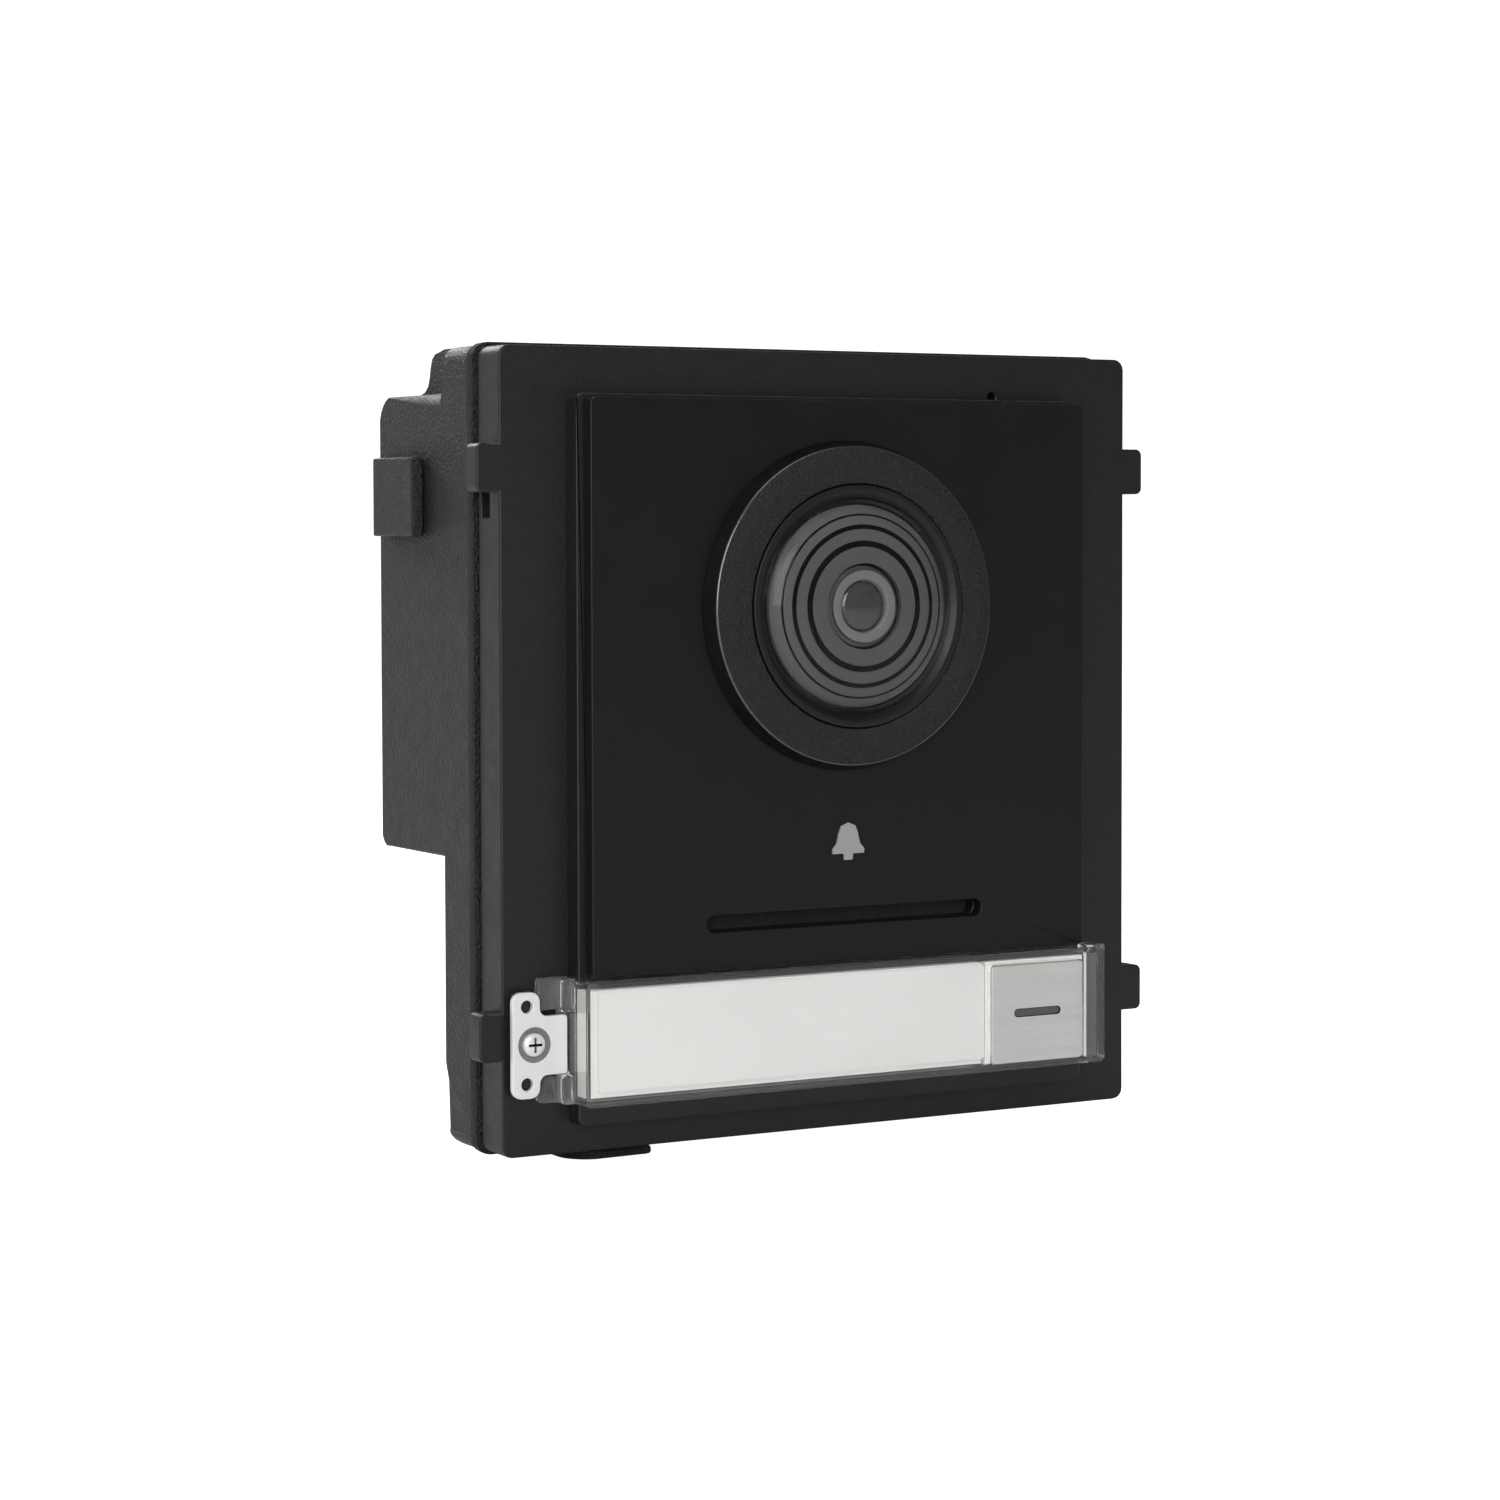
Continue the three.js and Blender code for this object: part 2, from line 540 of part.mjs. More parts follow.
addPiece(electronics, 'speaker_gasket', drill(
  plate(speakerOutline(0), plinthInner + seat, gasketBack),
  plate(speakerOutline(-3.2), plinthInner - cut, gasketBack + cut),
), blackRubber);
addPiece(electronics, 'speaker_membrane', plate(
  centredRect(0, slotHeight, speakerSlot.length + 0.5, speakerSlot.height + 2, 0.6),
  plinthInner + seat, plinthInner + seat + 0.3,
), blackRubber);
addPiece(electronics, 'speaker_driver', drill(
  join(
    plate(speakerOutline(0), speakerFront, speakerFront + speaker.flange),
    plate(speakerOutline(-5), speakerFront + 0.5, speakerFront + speaker.flange + speaker.basket, 0.8),
    rod(0, speakerZ, speaker.magnetRadius, speakerFront + 2, speakerFront + speaker.flange + speaker.basket
      + speaker.magnet, 24),
  ),
  plate(speakerOutline(-7), speakerFront - cut, speakerFront + 0.8),
), connectorBlack);

const micFront = frame.wall + seat;
const capsuleFront = micFront + microphone.bootWall;
const bootRadius = microphone.radius + microphone.bootWall;
addPiece(electronics, 'microphone_boot', drill(
  rod(micX, micZ, bootRadius, micFront, capsuleFront + microphone.length, 20),
  rod(micX, micZ, microphone.holeRadius, micFront - cut, capsuleFront + cut, 12),
  rod(micX, micZ, microphone.radius + 0.05, capsuleFront, capsuleFront + microphone.length + cut, 20),
), blackRubber);
addPiece(electronics, 'microphone_capsule', rod(
  micX, micZ, microphone.radius - 0.05, capsuleFront + seat, capsuleFront + microphone.length, 20,
), zincSteel);

// ---------------------------------------------------------------- name plate
/** Clear cover: a shallow tray over the plinth, open for the button, with lugs at its left end. */
function nameCover() {
  const n = nameBar;
  const blockLeft = barLeft - barLug.block;
  const plateLeft = barLeft - barLug.reach;
  const trayOutline = roundedRect(barLeft, barBottom, barRight, barTop, n.corner);
  const tray = plate(trayOutline, -n.front, -plinth.proud - seat);
  const inner = box(barLeft + n.wall, barRight - n.wall, barInside, cut, barBottom + n.wall, barTop - n.wall);
  const ribRight = barRight - barRib.inset;
  const rib = plate(
    roundedRect(ribRight - barRib.width, barBottom + barRib.drop, ribRight, barTop + barRib.rise,
      barRib.corner),
    -n.front - barRib.proud, barInside + 0.4,
  );
  const opening = plate(
    roundedRect(buttonLeft - slip, buttonBottom - slip, buttonRight + slip, buttonTop + slip, button.corner),
    -n.front - cut, barInside + cut,
  );
  const endWall = (left, right) => box(left, right, -plinth.proud - 1, -seat, barBottom + 0.3, barTop - 0.3);
  let cover = join(
    drill(join(tray, rib), inner, opening),
    endWall(barLeft, barLeft + n.overhang - slip),
    endWall(barRight - n.overhang + slip, barRight),
    box(blockLeft, barLeft + 0.2, -barLug.plate - seat, -seat, barBottom + 0.3, barTop - 0.3),
  );
  const ranges = [
    [barTop - barLug.upperHeight + 0.3, barTop + 0.3],
    [barBottom + 0.15, barBottom + 0.15 + barLug.lowerHeight],
  ];
  for (const [bottom, top] of ranges) {
    cover = join(
      cover,
      plate(roundedRect(plateLeft, bottom, barLeft + 0.2, top, 0.6), -barLug.plate - seat, -seat),
      plate(roundedRect(blockLeft, bottom, barLeft + 0.2, top, 0.3), -barLug.blockHeight, -seat),
    );
  }
  return cover;
}
addPiece(namePlate, 'name_cover', nameCover(), clearPlastic);

const labelFront = barInside + slip;
const guideFront = labelFront + label.thickness + seat;
addPiece(namePlate, 'name_label', box(
  barLeft + nameBar.wall + label.sideMargin, labelRight, labelFront, labelFront + label.thickness,
  barBottom + nameBar.wall + label.bottomMargin, barTop - nameBar.wall - label.topMargin,
), whiteFilm);
addPiece(namePlate, 'light_guide', box(
  barLeft + nameBar.wall + label.sideMargin, labelRight - lightGuide.margin,
  guideFront, guideFront + lightGuide.thickness,
  barBottom + nameBar.wall + lightGuide.margin, barTop - nameBar.wall - lightGuide.margin,
), milkyPlastic);

const guideLeft = barLeft + nameBar.wall + label.sideMargin;
for (let i = 0; i < led.count; i += 1) {
  const x = guideLeft + ((labelRight - guideLeft) * (i + 0.5)) / led.count;
  addPiece(namePlate, `label_led_${i + 1}`, plate(
    centredRect(0, 0, led.width, led.height, 0.2), keyBoardFront - seat - led.thickness, keyBoardFront - seat,
  ), whiteFilm, [x, 0, (barBottom + barTop) / 2]);
}

/** Small board behind the name plate that carries the lamps and the call switch. */
const keyBoardSide = plinthSide - plinth.wall - keyBoard.endMargin;
addPiece(namePlate, 'key_board', plate(
  roundedRect(-keyBoardSide, plinthBottom + plinth.wall + keyBoard.bottomMargin, keyBoardSide,
    keyBoardTop, 0.8),
  keyBoardFront, keyBoardFront + keyBoard.thickness,
), circuitGreen);

// ---------------------------------------------------------------- call button
const capBack = buttonCap.thickness - buttonCap.front;
const carrierFront = capBack + 0.05;
const ledgeFront = barInside + seat;
const carrierBack = carrierFront + carrier.thickness;
const stemFront = plinthInner + seat - 0.9;
const dashOutline = (grow) => {
  const height = dash.height + 2 * grow;
  return centredRect(buttonX, buttonZ + 0.1, dash.length + 2 * grow, height, height / 2);
};
addPiece(namePlate, 'call_button_cap', drill(
  plate(roundedRect(buttonLeft, buttonBottom, buttonRight, buttonTop, button.corner),
    -buttonCap.front, capBack),
  plate(dashOutline(0), -buttonCap.front - cut, capBack + cut),
), brushedSteel);
addPiece(namePlate, 'call_dash_inlay', plate(
  dashOutline(-seat / 2), dash.setBack - buttonCap.front, capBack,
), darkInlay);

/** Plastic body under the cap, kept in by a ledge behind the cover, with the post that works the switch. */
function buttonCarrier() {
  const [s, l] = [carrier.shoulder, carrier.ledge];
  return join(
    plate(roundedRect(buttonLeft + s, buttonBottom + s, buttonRight - s, buttonTop - s, 0.3),
      carrierFront, carrierBack),
    box(buttonLeft - l, buttonRight + l, ledgeFront, ledgeFront + carrier.ledgeThickness,
      buttonBottom, buttonTop + l),
    rod(buttonX, buttonZ, callSwitch.postRadius, carrierBack - 0.3, stemFront - 0.05, 16),
  );
}
addPiece(namePlate, 'call_button_carrier', buttonCarrier(), connectorBlack);
addPiece(namePlate, 'call_switch_stem', rod(
  buttonX, buttonZ, callSwitch.stemRadius, stemFront, stemFront + callSwitch.stemLength, 16,
), connectorBlack);
const switchBack = keyBoardFront - seat;
const switchFront = switchBack - callSwitch.height;
addPiece(namePlate, 'call_switch', drill(
  plate(centredRect(buttonX, buttonZ, callSwitch.side, callSwitch.side, 0.4), switchFront, switchBack),
  rod(buttonX, buttonZ, callSwitch.stemRadius + slip, switchFront - cut, switchBack - 0.15, 16),
), chipBlack);

// ---------------------------------------------------------------- bracket that locks the name plate
/** Sheet steel outline: a tall plate with rounded corners and a tongue that reaches over the cover. */
function bracketOutline() {
  const b = bracket;
  const top = bracketBottom + b.height;
  const tip = barLeft - 0.2;
  const tongueBottom = bracketBottom + b.tongueLift - b.fillet;
  const tongueTop = tongueBottom + b.tongueHeight;
  const outline = new THREE.Shape();
  outline.moveTo(bracketLeft + b.corner, bracketBottom);
  outline.lineTo(bracketRight - b.corner, bracketBottom);
  outline.absarc(bracketRight - b.corner, bracketBottom + b.corner, b.corner, -Math.PI / 2, 0);
  outline.lineTo(bracketRight, tongueBottom - b.fillet);
  outline.absarc(bracketRight + b.fillet, tongueBottom - b.fillet, b.fillet, Math.PI, Math.PI / 2, true);
  outline.lineTo(tip - b.tipCorner, tongueBottom);
  outline.absarc(tip - b.tipCorner, tongueBottom + b.tipCorner, b.tipCorner, -Math.PI / 2, 0);
  outline.lineTo(tip, tongueTop - b.tipCorner);
  outline.absarc(tip - b.tipCorner, tongueTop - b.tipCorner, b.tipCorner, 0, Math.PI / 2);
  outline.lineTo(bracketRight + b.fillet, tongueTop);
  outline.absarc(bracketRight + b.fillet, tongueTop + b.fillet, b.fillet, -Math.PI / 2, -Math.PI, true);
  outline.lineTo(bracketRight, top - b.corner);
  outline.absarc(bracketRight - b.corner, top - b.corner, b.corner, 0, Math.PI / 2);
  outline.lineTo(bracketLeft + b.corner, top);
  outline.absarc(bracketLeft + b.corner, top - b.corner, b.corner, Math.PI / 2, Math.PI);
  outline.lineTo(bracketLeft, bracketBottom + b.corner);
  outline.absarc(bracketLeft + b.corner, bracketBottom + b.corner, b.corner, Math.PI, 1.5 * Math.PI);
  return outline;
}
const dimpleFloor = bracketFront + bracket.dimpleDepth;
function retainingBracket() {
  const dimple = turned([
    [0, bracketFront - 0.2], [bracket.dimpleRadius, bracketFront - 0.2], [bracket.dimpleRadius, bracketFront],
    [bracket.dimpleRadius - 0.5, dimpleFloor], [0, dimpleFloor],
  ], 24).translate([screwX, 0, screwZ]);
  const holeX = bracketLeft + bracket.sideHole;
  const ends = [bracketBottom + bracket.holeInset, bracketBottom + bracket.height - bracket.holeInset];
  return drill(
    plate(bracketOutline(), bracketFront, bracketBack),
    dimple,
    rod(screwX, screwZ, bracketScrew.shankRadius + slip, bracketFront - cut, bracketBack + cut, 16),
    ...ends.map((z) => rod(holeX, z, bracket.holeRadius, bracketFront - cut, bracketBack + cut, 16)),
  );
}
addPiece(namePlate, 'retaining_bracket', retainingBracket(), zincSteel);

/** Cross-slotted screw along the depth: head towards -Y, shank into the wall, its seat at depth 0. */
function crossScrew(headRadius, headHeight, shankRadius, length) {
  const slotWidth = headRadius * 0.26;
  const slotReach = headRadius * 0.62;
  const floor = -headHeight * 0.35;
  const head = turned([
    [0, 0], [headRadius, 0], [headRadius, -headHeight * 0.55], [headRadius * 0.8, -headHeight * 0.9],
    [0, -headHeight],
  ], 20);
  return drill(
    join(head, rod(0, 0, shankRadius, -0.2, length, 12)),
    box(-slotWidth / 2, slotWidth / 2, -headHeight - cut, floor, -slotReach, slotReach),
    box(-slotReach, slotReach, -headHeight - cut, floor, -slotWidth / 2, slotWidth / 2),
  );
}
addPiece(namePlate, 'bracket_screw', crossScrew(
  bracketScrew.headRadius, bracketScrew.headHeight, bracketScrew.shankRadius, bracketScrew.length,
), zincSteel, [screwX, dimpleFloor - 0.05, screwZ]);

// ---------------------------------------------------------------- seal and rear housing
function sealOutline(inset) {
  return centredRect(0, 0, frame.width - 2 * inset, frame.height - 2 * inset, frame.corner - inset / 2);
}
addPiece(rear, 'frame_seal', drill(
  plate(sealOutline(seal.inset), frame.depth + seat / 2, housingFront - seat / 2),
  plate(sealOutline(seal.inset + seal.width), frame.depth - cut, housingFront + cut),
), blackRubber);

/** Side view of the housing as (depth, height): shallow foot, deep block, and a swept step at the top. */
function housingSideView() {
  const h = housing;
  const deepTopEdge = h.deepDepth - h.topEdgeRadius;
  const shelfEnd = h.footDepth + topWeb.shelfDepth;
  const riser = h.footDepth + topWeb.riserDepth;
  const sweepEnd = h.footDepth + topWeb.length;
  const footTop = h.footHeight - housingEnd;
  const outline = new THREE.Shape();
  outline.moveTo(housingFront, -housingEnd);
  outline.lineTo(h.footDepth - h.edgeRadius, -housingEnd);
  outline.absarc(h.footDepth - h.edgeRadius, h.edgeRadius - housingEnd, h.edgeRadius, -Math.PI / 2, 0);
  outline.lineTo(h.footDepth, footTop);
  outline.lineTo(h.shallowDepth, footTop + h.footSlope);
  outline.lineTo(h.shallowDepth, deepBottom);
  outline.lineTo(h.deepDepth - h.edgeRadius, deepBottom);
  outline.absarc(h.deepDepth - h.edgeRadius, deepBottom + h.edgeRadius, h.edgeRadius, -Math.PI / 2, 0);
  outline.lineTo(h.deepDepth, deepTop - h.topEdgeRadius);
  outline.absarc(deepTopEdge, deepTop - h.topEdgeRadius, h.topEdgeRadius, 0, Math.PI / 2);
  outline.lineTo(sweepEnd, deepTop);
  outline.quadraticCurveTo(riser + 0.3, deepTop + 0.3, riser, deepTop + 2.2);
  outline.lineTo(riser - 0.3, housingEnd - 2.2);
  outline.quadraticCurveTo(riser - 0.6, housingEnd - 0.3, shelfEnd, housingEnd - 0.3);
  outline.lineTo(shelfEnd - 1.4, housingEnd);
  outline.lineTo(housingFront, housingEnd);
  return outline;
}

/** A side-view outline run across the whole width, centred on X = 0. */
function acrossWidth(outline, width) {
  const run = { depth: width, bevelEnabled: false, curveSegments: 3 };
  const geometry = new THREE.ExtrudeGeometry(outline, run);
  geometry.translate(0, 0, -width / 2);
  // The outline's first axis is the depth, its second the height, and it runs along X.
  geometry.applyMatrix4(new THREE.Matrix4().set(0, 0, 1, 0, 1, 0, 0, 0, 0, 1, 0, 0, 0, 0, 0, 1));
  return solid(geometry);
}

const linkX = linkSocket.spacing / 2;
const latchBack = housing.deepDepth - latch.fromBack;
const latchZ = deepTop - latch.fromTop - latch.height / 2;
const latchDepth = latchBack - latch.depth / 2;

function latchPegs(side, radius, from, to) {
  return [-0.5, 0.5].map((step) => {
    const geometry = new THREE.CylinderGeometry(radius, radius, to - from, 12);
    geometry.applyMatrix4(new THREE.Matrix4().set(0, 1, 0, 0, 1, 0, 0, 0, 0, 0, -1, 0, 0, 0, 0, 1));
    geometry.translate((side * (from + to)) / 2, latchDepth + step * latch.pegSpacing, latchZ);
    return solid(geometry);
  });
}

/** Shell that closes the back: lip, deep block, hook under the frame, screw columns and the port openings. */
function rearHousing() {
  const h = housing;
  const footprint = centredRect(0, 0, 2 * housingSide, 2 * housingEnd, h.corner);
  const lip = centredRect(0, 0, 2 * lipSide, 2 * lipEnd, h.corner + h.sideStep);
  let body = plate(footprint, housingFront, h.deepDepth + cut)
    .intersect(acrossWidth(housingSideView(), 2 * lipSide));
  for (const side of [-1, 1]) {
    const edge = side * (housingSide - topWeb.inset);
    const out = side * (housingSide + cut);
    body = body.subtract(box(Math.min(edge, out), Math.max(edge, out), h.footDepth + 0.3, h.deepDepth + cut,
      deepTop, housingEnd + cut));
  }
  body = join(body, plate(lip, housingFront, housingFront + h.lipDepth), bottomHook());
  body = drill(
    body,
    plate(centredRect(0, 0, 2 * cavitySide, 2 * cavityEnd, h.corner - h.wall / 2),
      housingFront - cut, shallowInside),
    box(-cavitySide, cavitySide, shallowInside - 0.5, backInside, deepBottom + h.wall, deepTop - h.wall),
  );
  for (const [x, z] of housingBosses) {
    const seatDepth = housingScrew.bossTop + 0.2 + housingScrew.columnDepth;
    body = body.add(rod(x, z, housingScrew.columnRadius, housingScrew.bossTop + 0.2,
      shallowInside + 0.5, 20));
    body = drill(
      body,
      rod(x, z, housingScrew.shankRadius + 0.2, housingScrew.bossTop - cut, seatDepth + cut, 16),
      rod(x, z, housingScrew.headRadius + 0.25, seatDepth, h.deepDepth, 16),
    );
  }
  for (const [x, z] of rearBosses) {
    body = body.add(rod(x, z, boardScrew.bossRadius - 0.2, rearBack + seat, backInside + 0.5, 16));
    body = body.subtract(rod(x, z, shankHole, rearBack - cut, rearBack + boardScrew.length, 12));
  }
  for (const side of [-1, 1]) {
    body = drill(
      body,
      ...latchPegs(side, latch.pegRadius + seat, cavitySide - cut, housingSide + cut),
      plate(centredRect(side * linkX, linkZ, linkSocket.width + 2 * slip,
        linkSocket.height + 2 * slip, 0.4), shallowInside - cut, h.shallowDepth + cut),
    );
  }
  return drill(
    body,
    plate(roundedRect(terminalLeft - slip, portZ - terminal.height / 2 - slip, terminalRight + slip,
      portZ + terminal.height / 2 + slip, 0.4), backInside - cut, h.deepDepth + cut),
    plate(centredRect(jackX, portZ, jack.width + 2 * slip, jack.height + 2 * slip, 0.4),
      backInside - cut, h.deepDepth + cut),
    rod(tamperX, tamperZ, tamper.radius + slip, shallowInside - cut, h.shallowDepth + cut, 20),
    rod(tamperX, tamperZ, tamper.flangeRadius + slip, shallowInside - cut, h.shallowDepth - tamper.wall, 20),
    plate(centredRect(0, ratingZ, ratingPlate.width + 2 * slip, ratingPlate.height + 2 * slip,
      ratingPlate.corner), h.deepDepth - ratingPlate.recess, h.deepDepth + cut),
  );
}

/** Flat hook that reaches forward under the frame, with one rounded corner. */
function bottomHook() {
  const left = hook.left - halfWidth;
  const right = left + hook.width;
  const back = hook.front + hook.reach;
  const outline = new THREE.Shape();
  outline.moveTo(right, -hook.front);
  outline.lineTo(left + hook.corner, -hook.front);
  outline.absarc(left + hook.corner, -hook.front - hook.corner, hook.corner, Math.PI / 2, Math.PI);
  outline.lineTo(left, -back);
  outline.lineTo(right, -back);
  const run = { depth: hook.thickness, bevelEnabled: false, curveSegments: 4 };
  const geometry = new THREE.ExtrudeGeometry(outline, run);
  // The outline is a top view whose second axis is the depth, turned round.
  geometry.applyMatrix4(new THREE.Matrix4().set(1, 0, 0, 0, 0, -1, 0, 0, 0, 0, -1, 0, 0, 0, 0, 1));
  geometry.translate(0, 0, -lipEnd - hook.drop);
  const root = box(left + 0.5, right, housingFront, back, -lipEnd - hook.drop - 0.3, -housingEnd + 0.5);
  return solid(geometry).add(root);
}
addPiece(rear, 'rear_housing', rearHousing(), grainedBlack);

for (const [side, name] of [[-1, 'side_latch_left'], [1, 'side_latch_right']]) {
  const inner = side * (housingSide + seat);
  const outer = side * (housingSide + latch.proud);
  const pad = box(Math.min(inner, outer), Math.max(inner, outer), latchBack - latch.depth, latchBack,
    latchZ - latch.height / 2, latchZ + latch.height / 2);
  const pegs = latchPegs(side, latch.pegRadius, cavitySide - 0.2, housingSide + 0.5);
  addPiece(rear, name, join(pad, ...pegs), grainedBlack);
}
addPiece(rear, 'rating_plate', plate(
  centredRect(0, ratingZ, ratingPlate.width, ratingPlate.height, ratingPlate.corner),
  housing.deepDepth - ratingPlate.recess + 0.05,
  housing.deepDepth - ratingPlate.recess + 0.05 + ratingPlate.thickness,
), paleSilver);

// ---------------------------------------------------------------- boards, connectors and the tamper switch
/** Main board with its processor, memory and power coil. */
function mainBoardSolid() {
  const outline = centredRect(0, 0, 2 * mainSide, 2 * mainEnd, mainBoard.corner);
  let board = plate(outline, mainBoard.front, mainBack);
  for (const [x, z] of boardBosses) {
    board = board.subtract(rod(x, z, boardScrew.shankRadius + slip, mainBoard.front - cut,
      mainBack + cut, 12));
  }
  return join(
    board,
    box(-9, 9, mainBack - 0.1, mainBack + 1.4, 12, 30),
    box(16, 26, mainBack - 0.1, mainBack + 1.2, 14, 28),
    box(-30, -20, mainBack - 0.1, mainBack + 3, 14, 24),
  );
}
addPiece(electronics, 'main_board', mainBoardSolid(), circuitGreen);

function rearBoardSolid() {
  const outline = roundedRect(-rearSide, rearBottom, rearSide, rearTop, rearBoard.corner);
  let board = plate(outline, rearBoard.front, rearBack);
  for (const [x, z] of rearBosses) {
    board = board.subtract(rod(x, z, boardScrew.shankRadius + slip, rearBoard.front - cut,
      rearBack + cut, 12));
  }
  return board;
}
addPiece(electronics, 'connector_board', rearBoardSolid(), circuitGreen);
addPiece(electronics, 'stacking_connector', box(
  -stackConnector.width / 2, stackConnector.width / 2, mainBack + seat, rearBoard.front - seat,
  stackZ - stackConnector.height / 2, stackZ + stackConnector.height / 2,
), connectorBlack);

/** Terminal strip: one wire entry and one release slot for each pole. */
function terminalBlock() {
  const t = terminal;
  let block = box(terminalLeft, terminalRight, rearBack + seat, portFace,
    portZ - t.height / 2, portZ + t.height / 2);
  for (let pole = 0; pole < t.poles; pole += 1) {
    const x = terminalLeft + (pole + 0.5) * t.pitch;
    block = drill(
      block,
      box(x - t.entry / 2, x + t.entry / 2, portFace - t.entryDepth, portFace + cut,
        portZ - 3.4, portZ - 0.4),
      box(x - 0.9, x + 0.9, portFace - 1.6, portFace + cut, portZ + 1.6, portZ + 3.2),
    );
  }
  return block;
}
addPiece(electronics, 'terminal_block', terminalBlock(), connectorGreen);

function networkJack() {
  const j = jack;
  const [left, right] = [jackX - j.port / 2, jackX + j.port / 2];
  const portBottom = portZ - j.portHeight / 2 + 0.8;
  return drill(
    box(jackX - j.width / 2, jackX + j.width / 2, rearBack + seat, portFace,
      portZ - j.height / 2, portZ + j.height / 2),
    box(left, right, portFace - j.portDepth, portFace + cut, portBottom, portBottom + j.portHeight),
    box(jackX - j.keyWidth / 2, jackX + j.keyWidth / 2, portFace - j.portDepth, portFace + cut,
      portBottom - 2.2, portBottom + 0.5),
  );
}
addPiece(electronics, 'network_jack', networkJack(), connectorBlack);

for (const [side, name] of [[-1, 'link_socket_left'], [1, 'link_socket_right']]) {
  const s = linkSocket;
  const mouth = housing.shallowDepth - portSetBack;
  addPiece(electronics, name, drill(
    plate(centredRect(0, 0, s.width, s.height, 0.4), mainBack + seat, mouth),
    plate(centredRect(0, 0, s.width - 2 * s.wall, s.height - 2 * s.wall, 0.2), mouth - s.depth, mouth + cut),
  ), milkyPlastic, [side * linkX, 0, linkZ]);
}

const flangeBack = housing.shallowDepth - tamper.wall - seat;
const flangeFront = flangeBack - tamper.flangeThickness;
const tamperHalf = tamper.switchSide / 2;
addPiece(electronics, 'tamper_switch', box(
  tamperX - tamperHalf, tamperX + tamperHalf, mainBack + seat, flangeFront - tamper.travel - seat,
  tamperZ - tamperHalf, tamperZ + tamperHalf,
), chipBlack);
/** Plunger that the wall box holds in, with the flange that keeps it in the back wall. */
addPiece(electronics, 'tamper_plunger', join(
  rod(0, 0, tamper.radius, flangeBack - 0.2, housing.shallowDepth + tamper.proud, 20),
  rod(0, 0, tamper.flangeRadius, flangeFront, flangeBack, 20),
), milkyPlastic, [tamperX, 0, tamperZ]);

// ---------------------------------------------------------------- screws put in from behind
/** Turns a screw round so that its head faces the back. */
const fromBehind = (screw) => screw.rotate([0, 0, 180]);

function addScrews(name, size, places, depth) {
  places.forEach(([x, z], i) => {
    const screw = fromBehind(crossScrew(size.headRadius, size.headHeight, size.shankRadius, size.length));
    addPiece(rear, `${name}_${i + 1}`, screw, zincSteel, [x, depth, z]);
  });
}
addScrews('board_screw', boardScrew, boardBosses, mainBack + 0.05);
const columnFloor = housingScrew.bossTop + 0.25 + housingScrew.columnDepth;
addScrews('housing_screw', housingScrew, housingBosses, columnFloor);
rearBosses.forEach(([x, z], i) => {
  const { headRadius, headHeight, shankRadius, length } = boardScrew;
  const screw = crossScrew(headRadius, headHeight, shankRadius, length);
  addPiece(rear, `connector_board_screw_${i + 1}`, screw, zincSteel, [x, rearBoard.front - 0.05, z]);
});

// ---------------------------------------------------------------- the whole module
const module = new THREE.Group();
module.add(front, cameraGroup, namePlate, rear, electronics);
module.position.y = -housing.deepDepth;

export default module;
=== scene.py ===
import math
import bpy
import bmesh
from mathutils import Matrix, Vector


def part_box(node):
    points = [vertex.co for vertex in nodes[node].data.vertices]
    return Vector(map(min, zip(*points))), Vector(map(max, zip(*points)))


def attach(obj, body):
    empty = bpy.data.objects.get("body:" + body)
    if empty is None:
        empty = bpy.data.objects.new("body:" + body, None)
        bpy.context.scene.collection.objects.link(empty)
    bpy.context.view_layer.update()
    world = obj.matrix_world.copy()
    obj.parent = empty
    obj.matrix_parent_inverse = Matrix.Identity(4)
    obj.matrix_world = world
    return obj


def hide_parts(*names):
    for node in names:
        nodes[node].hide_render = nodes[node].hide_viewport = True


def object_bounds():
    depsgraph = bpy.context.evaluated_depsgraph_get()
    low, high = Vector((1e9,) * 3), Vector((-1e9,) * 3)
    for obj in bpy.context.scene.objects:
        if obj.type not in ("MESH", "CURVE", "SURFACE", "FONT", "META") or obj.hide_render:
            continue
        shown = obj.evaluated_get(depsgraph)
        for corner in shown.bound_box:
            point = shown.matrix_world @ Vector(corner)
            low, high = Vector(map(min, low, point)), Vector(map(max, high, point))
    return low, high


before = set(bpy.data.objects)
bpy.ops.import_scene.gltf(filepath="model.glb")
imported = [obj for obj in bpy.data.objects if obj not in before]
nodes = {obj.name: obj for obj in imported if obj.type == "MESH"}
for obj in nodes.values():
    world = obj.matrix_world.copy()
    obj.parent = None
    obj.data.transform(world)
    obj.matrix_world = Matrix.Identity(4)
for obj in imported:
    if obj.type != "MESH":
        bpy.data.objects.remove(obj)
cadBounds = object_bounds()
mm = 0.001
panelBody = "panel_body"
buttonBody = "call_button"
plungerBody = "tamper_plunger"


# working helpers

def deselectAll():
    if bpy.context.object and bpy.context.object.mode != "OBJECT":
        bpy.ops.object.mode_set(mode="OBJECT")
    bpy.ops.object.select_all(action="DESELECT")


def makeActive(piece):
    deselectAll()
    piece.select_set(True)
    bpy.context.view_layer.objects.active = piece


def editPiece(piece, kind="FACE"):
    makeActive(piece)
    bpy.ops.object.mode_set(mode="EDIT")
    bpy.ops.mesh.select_mode(type=kind)
    bpy.ops.mesh.select_all(action="DESELECT")


def leaveEdit():
    bpy.ops.object.mode_set(mode="OBJECT")


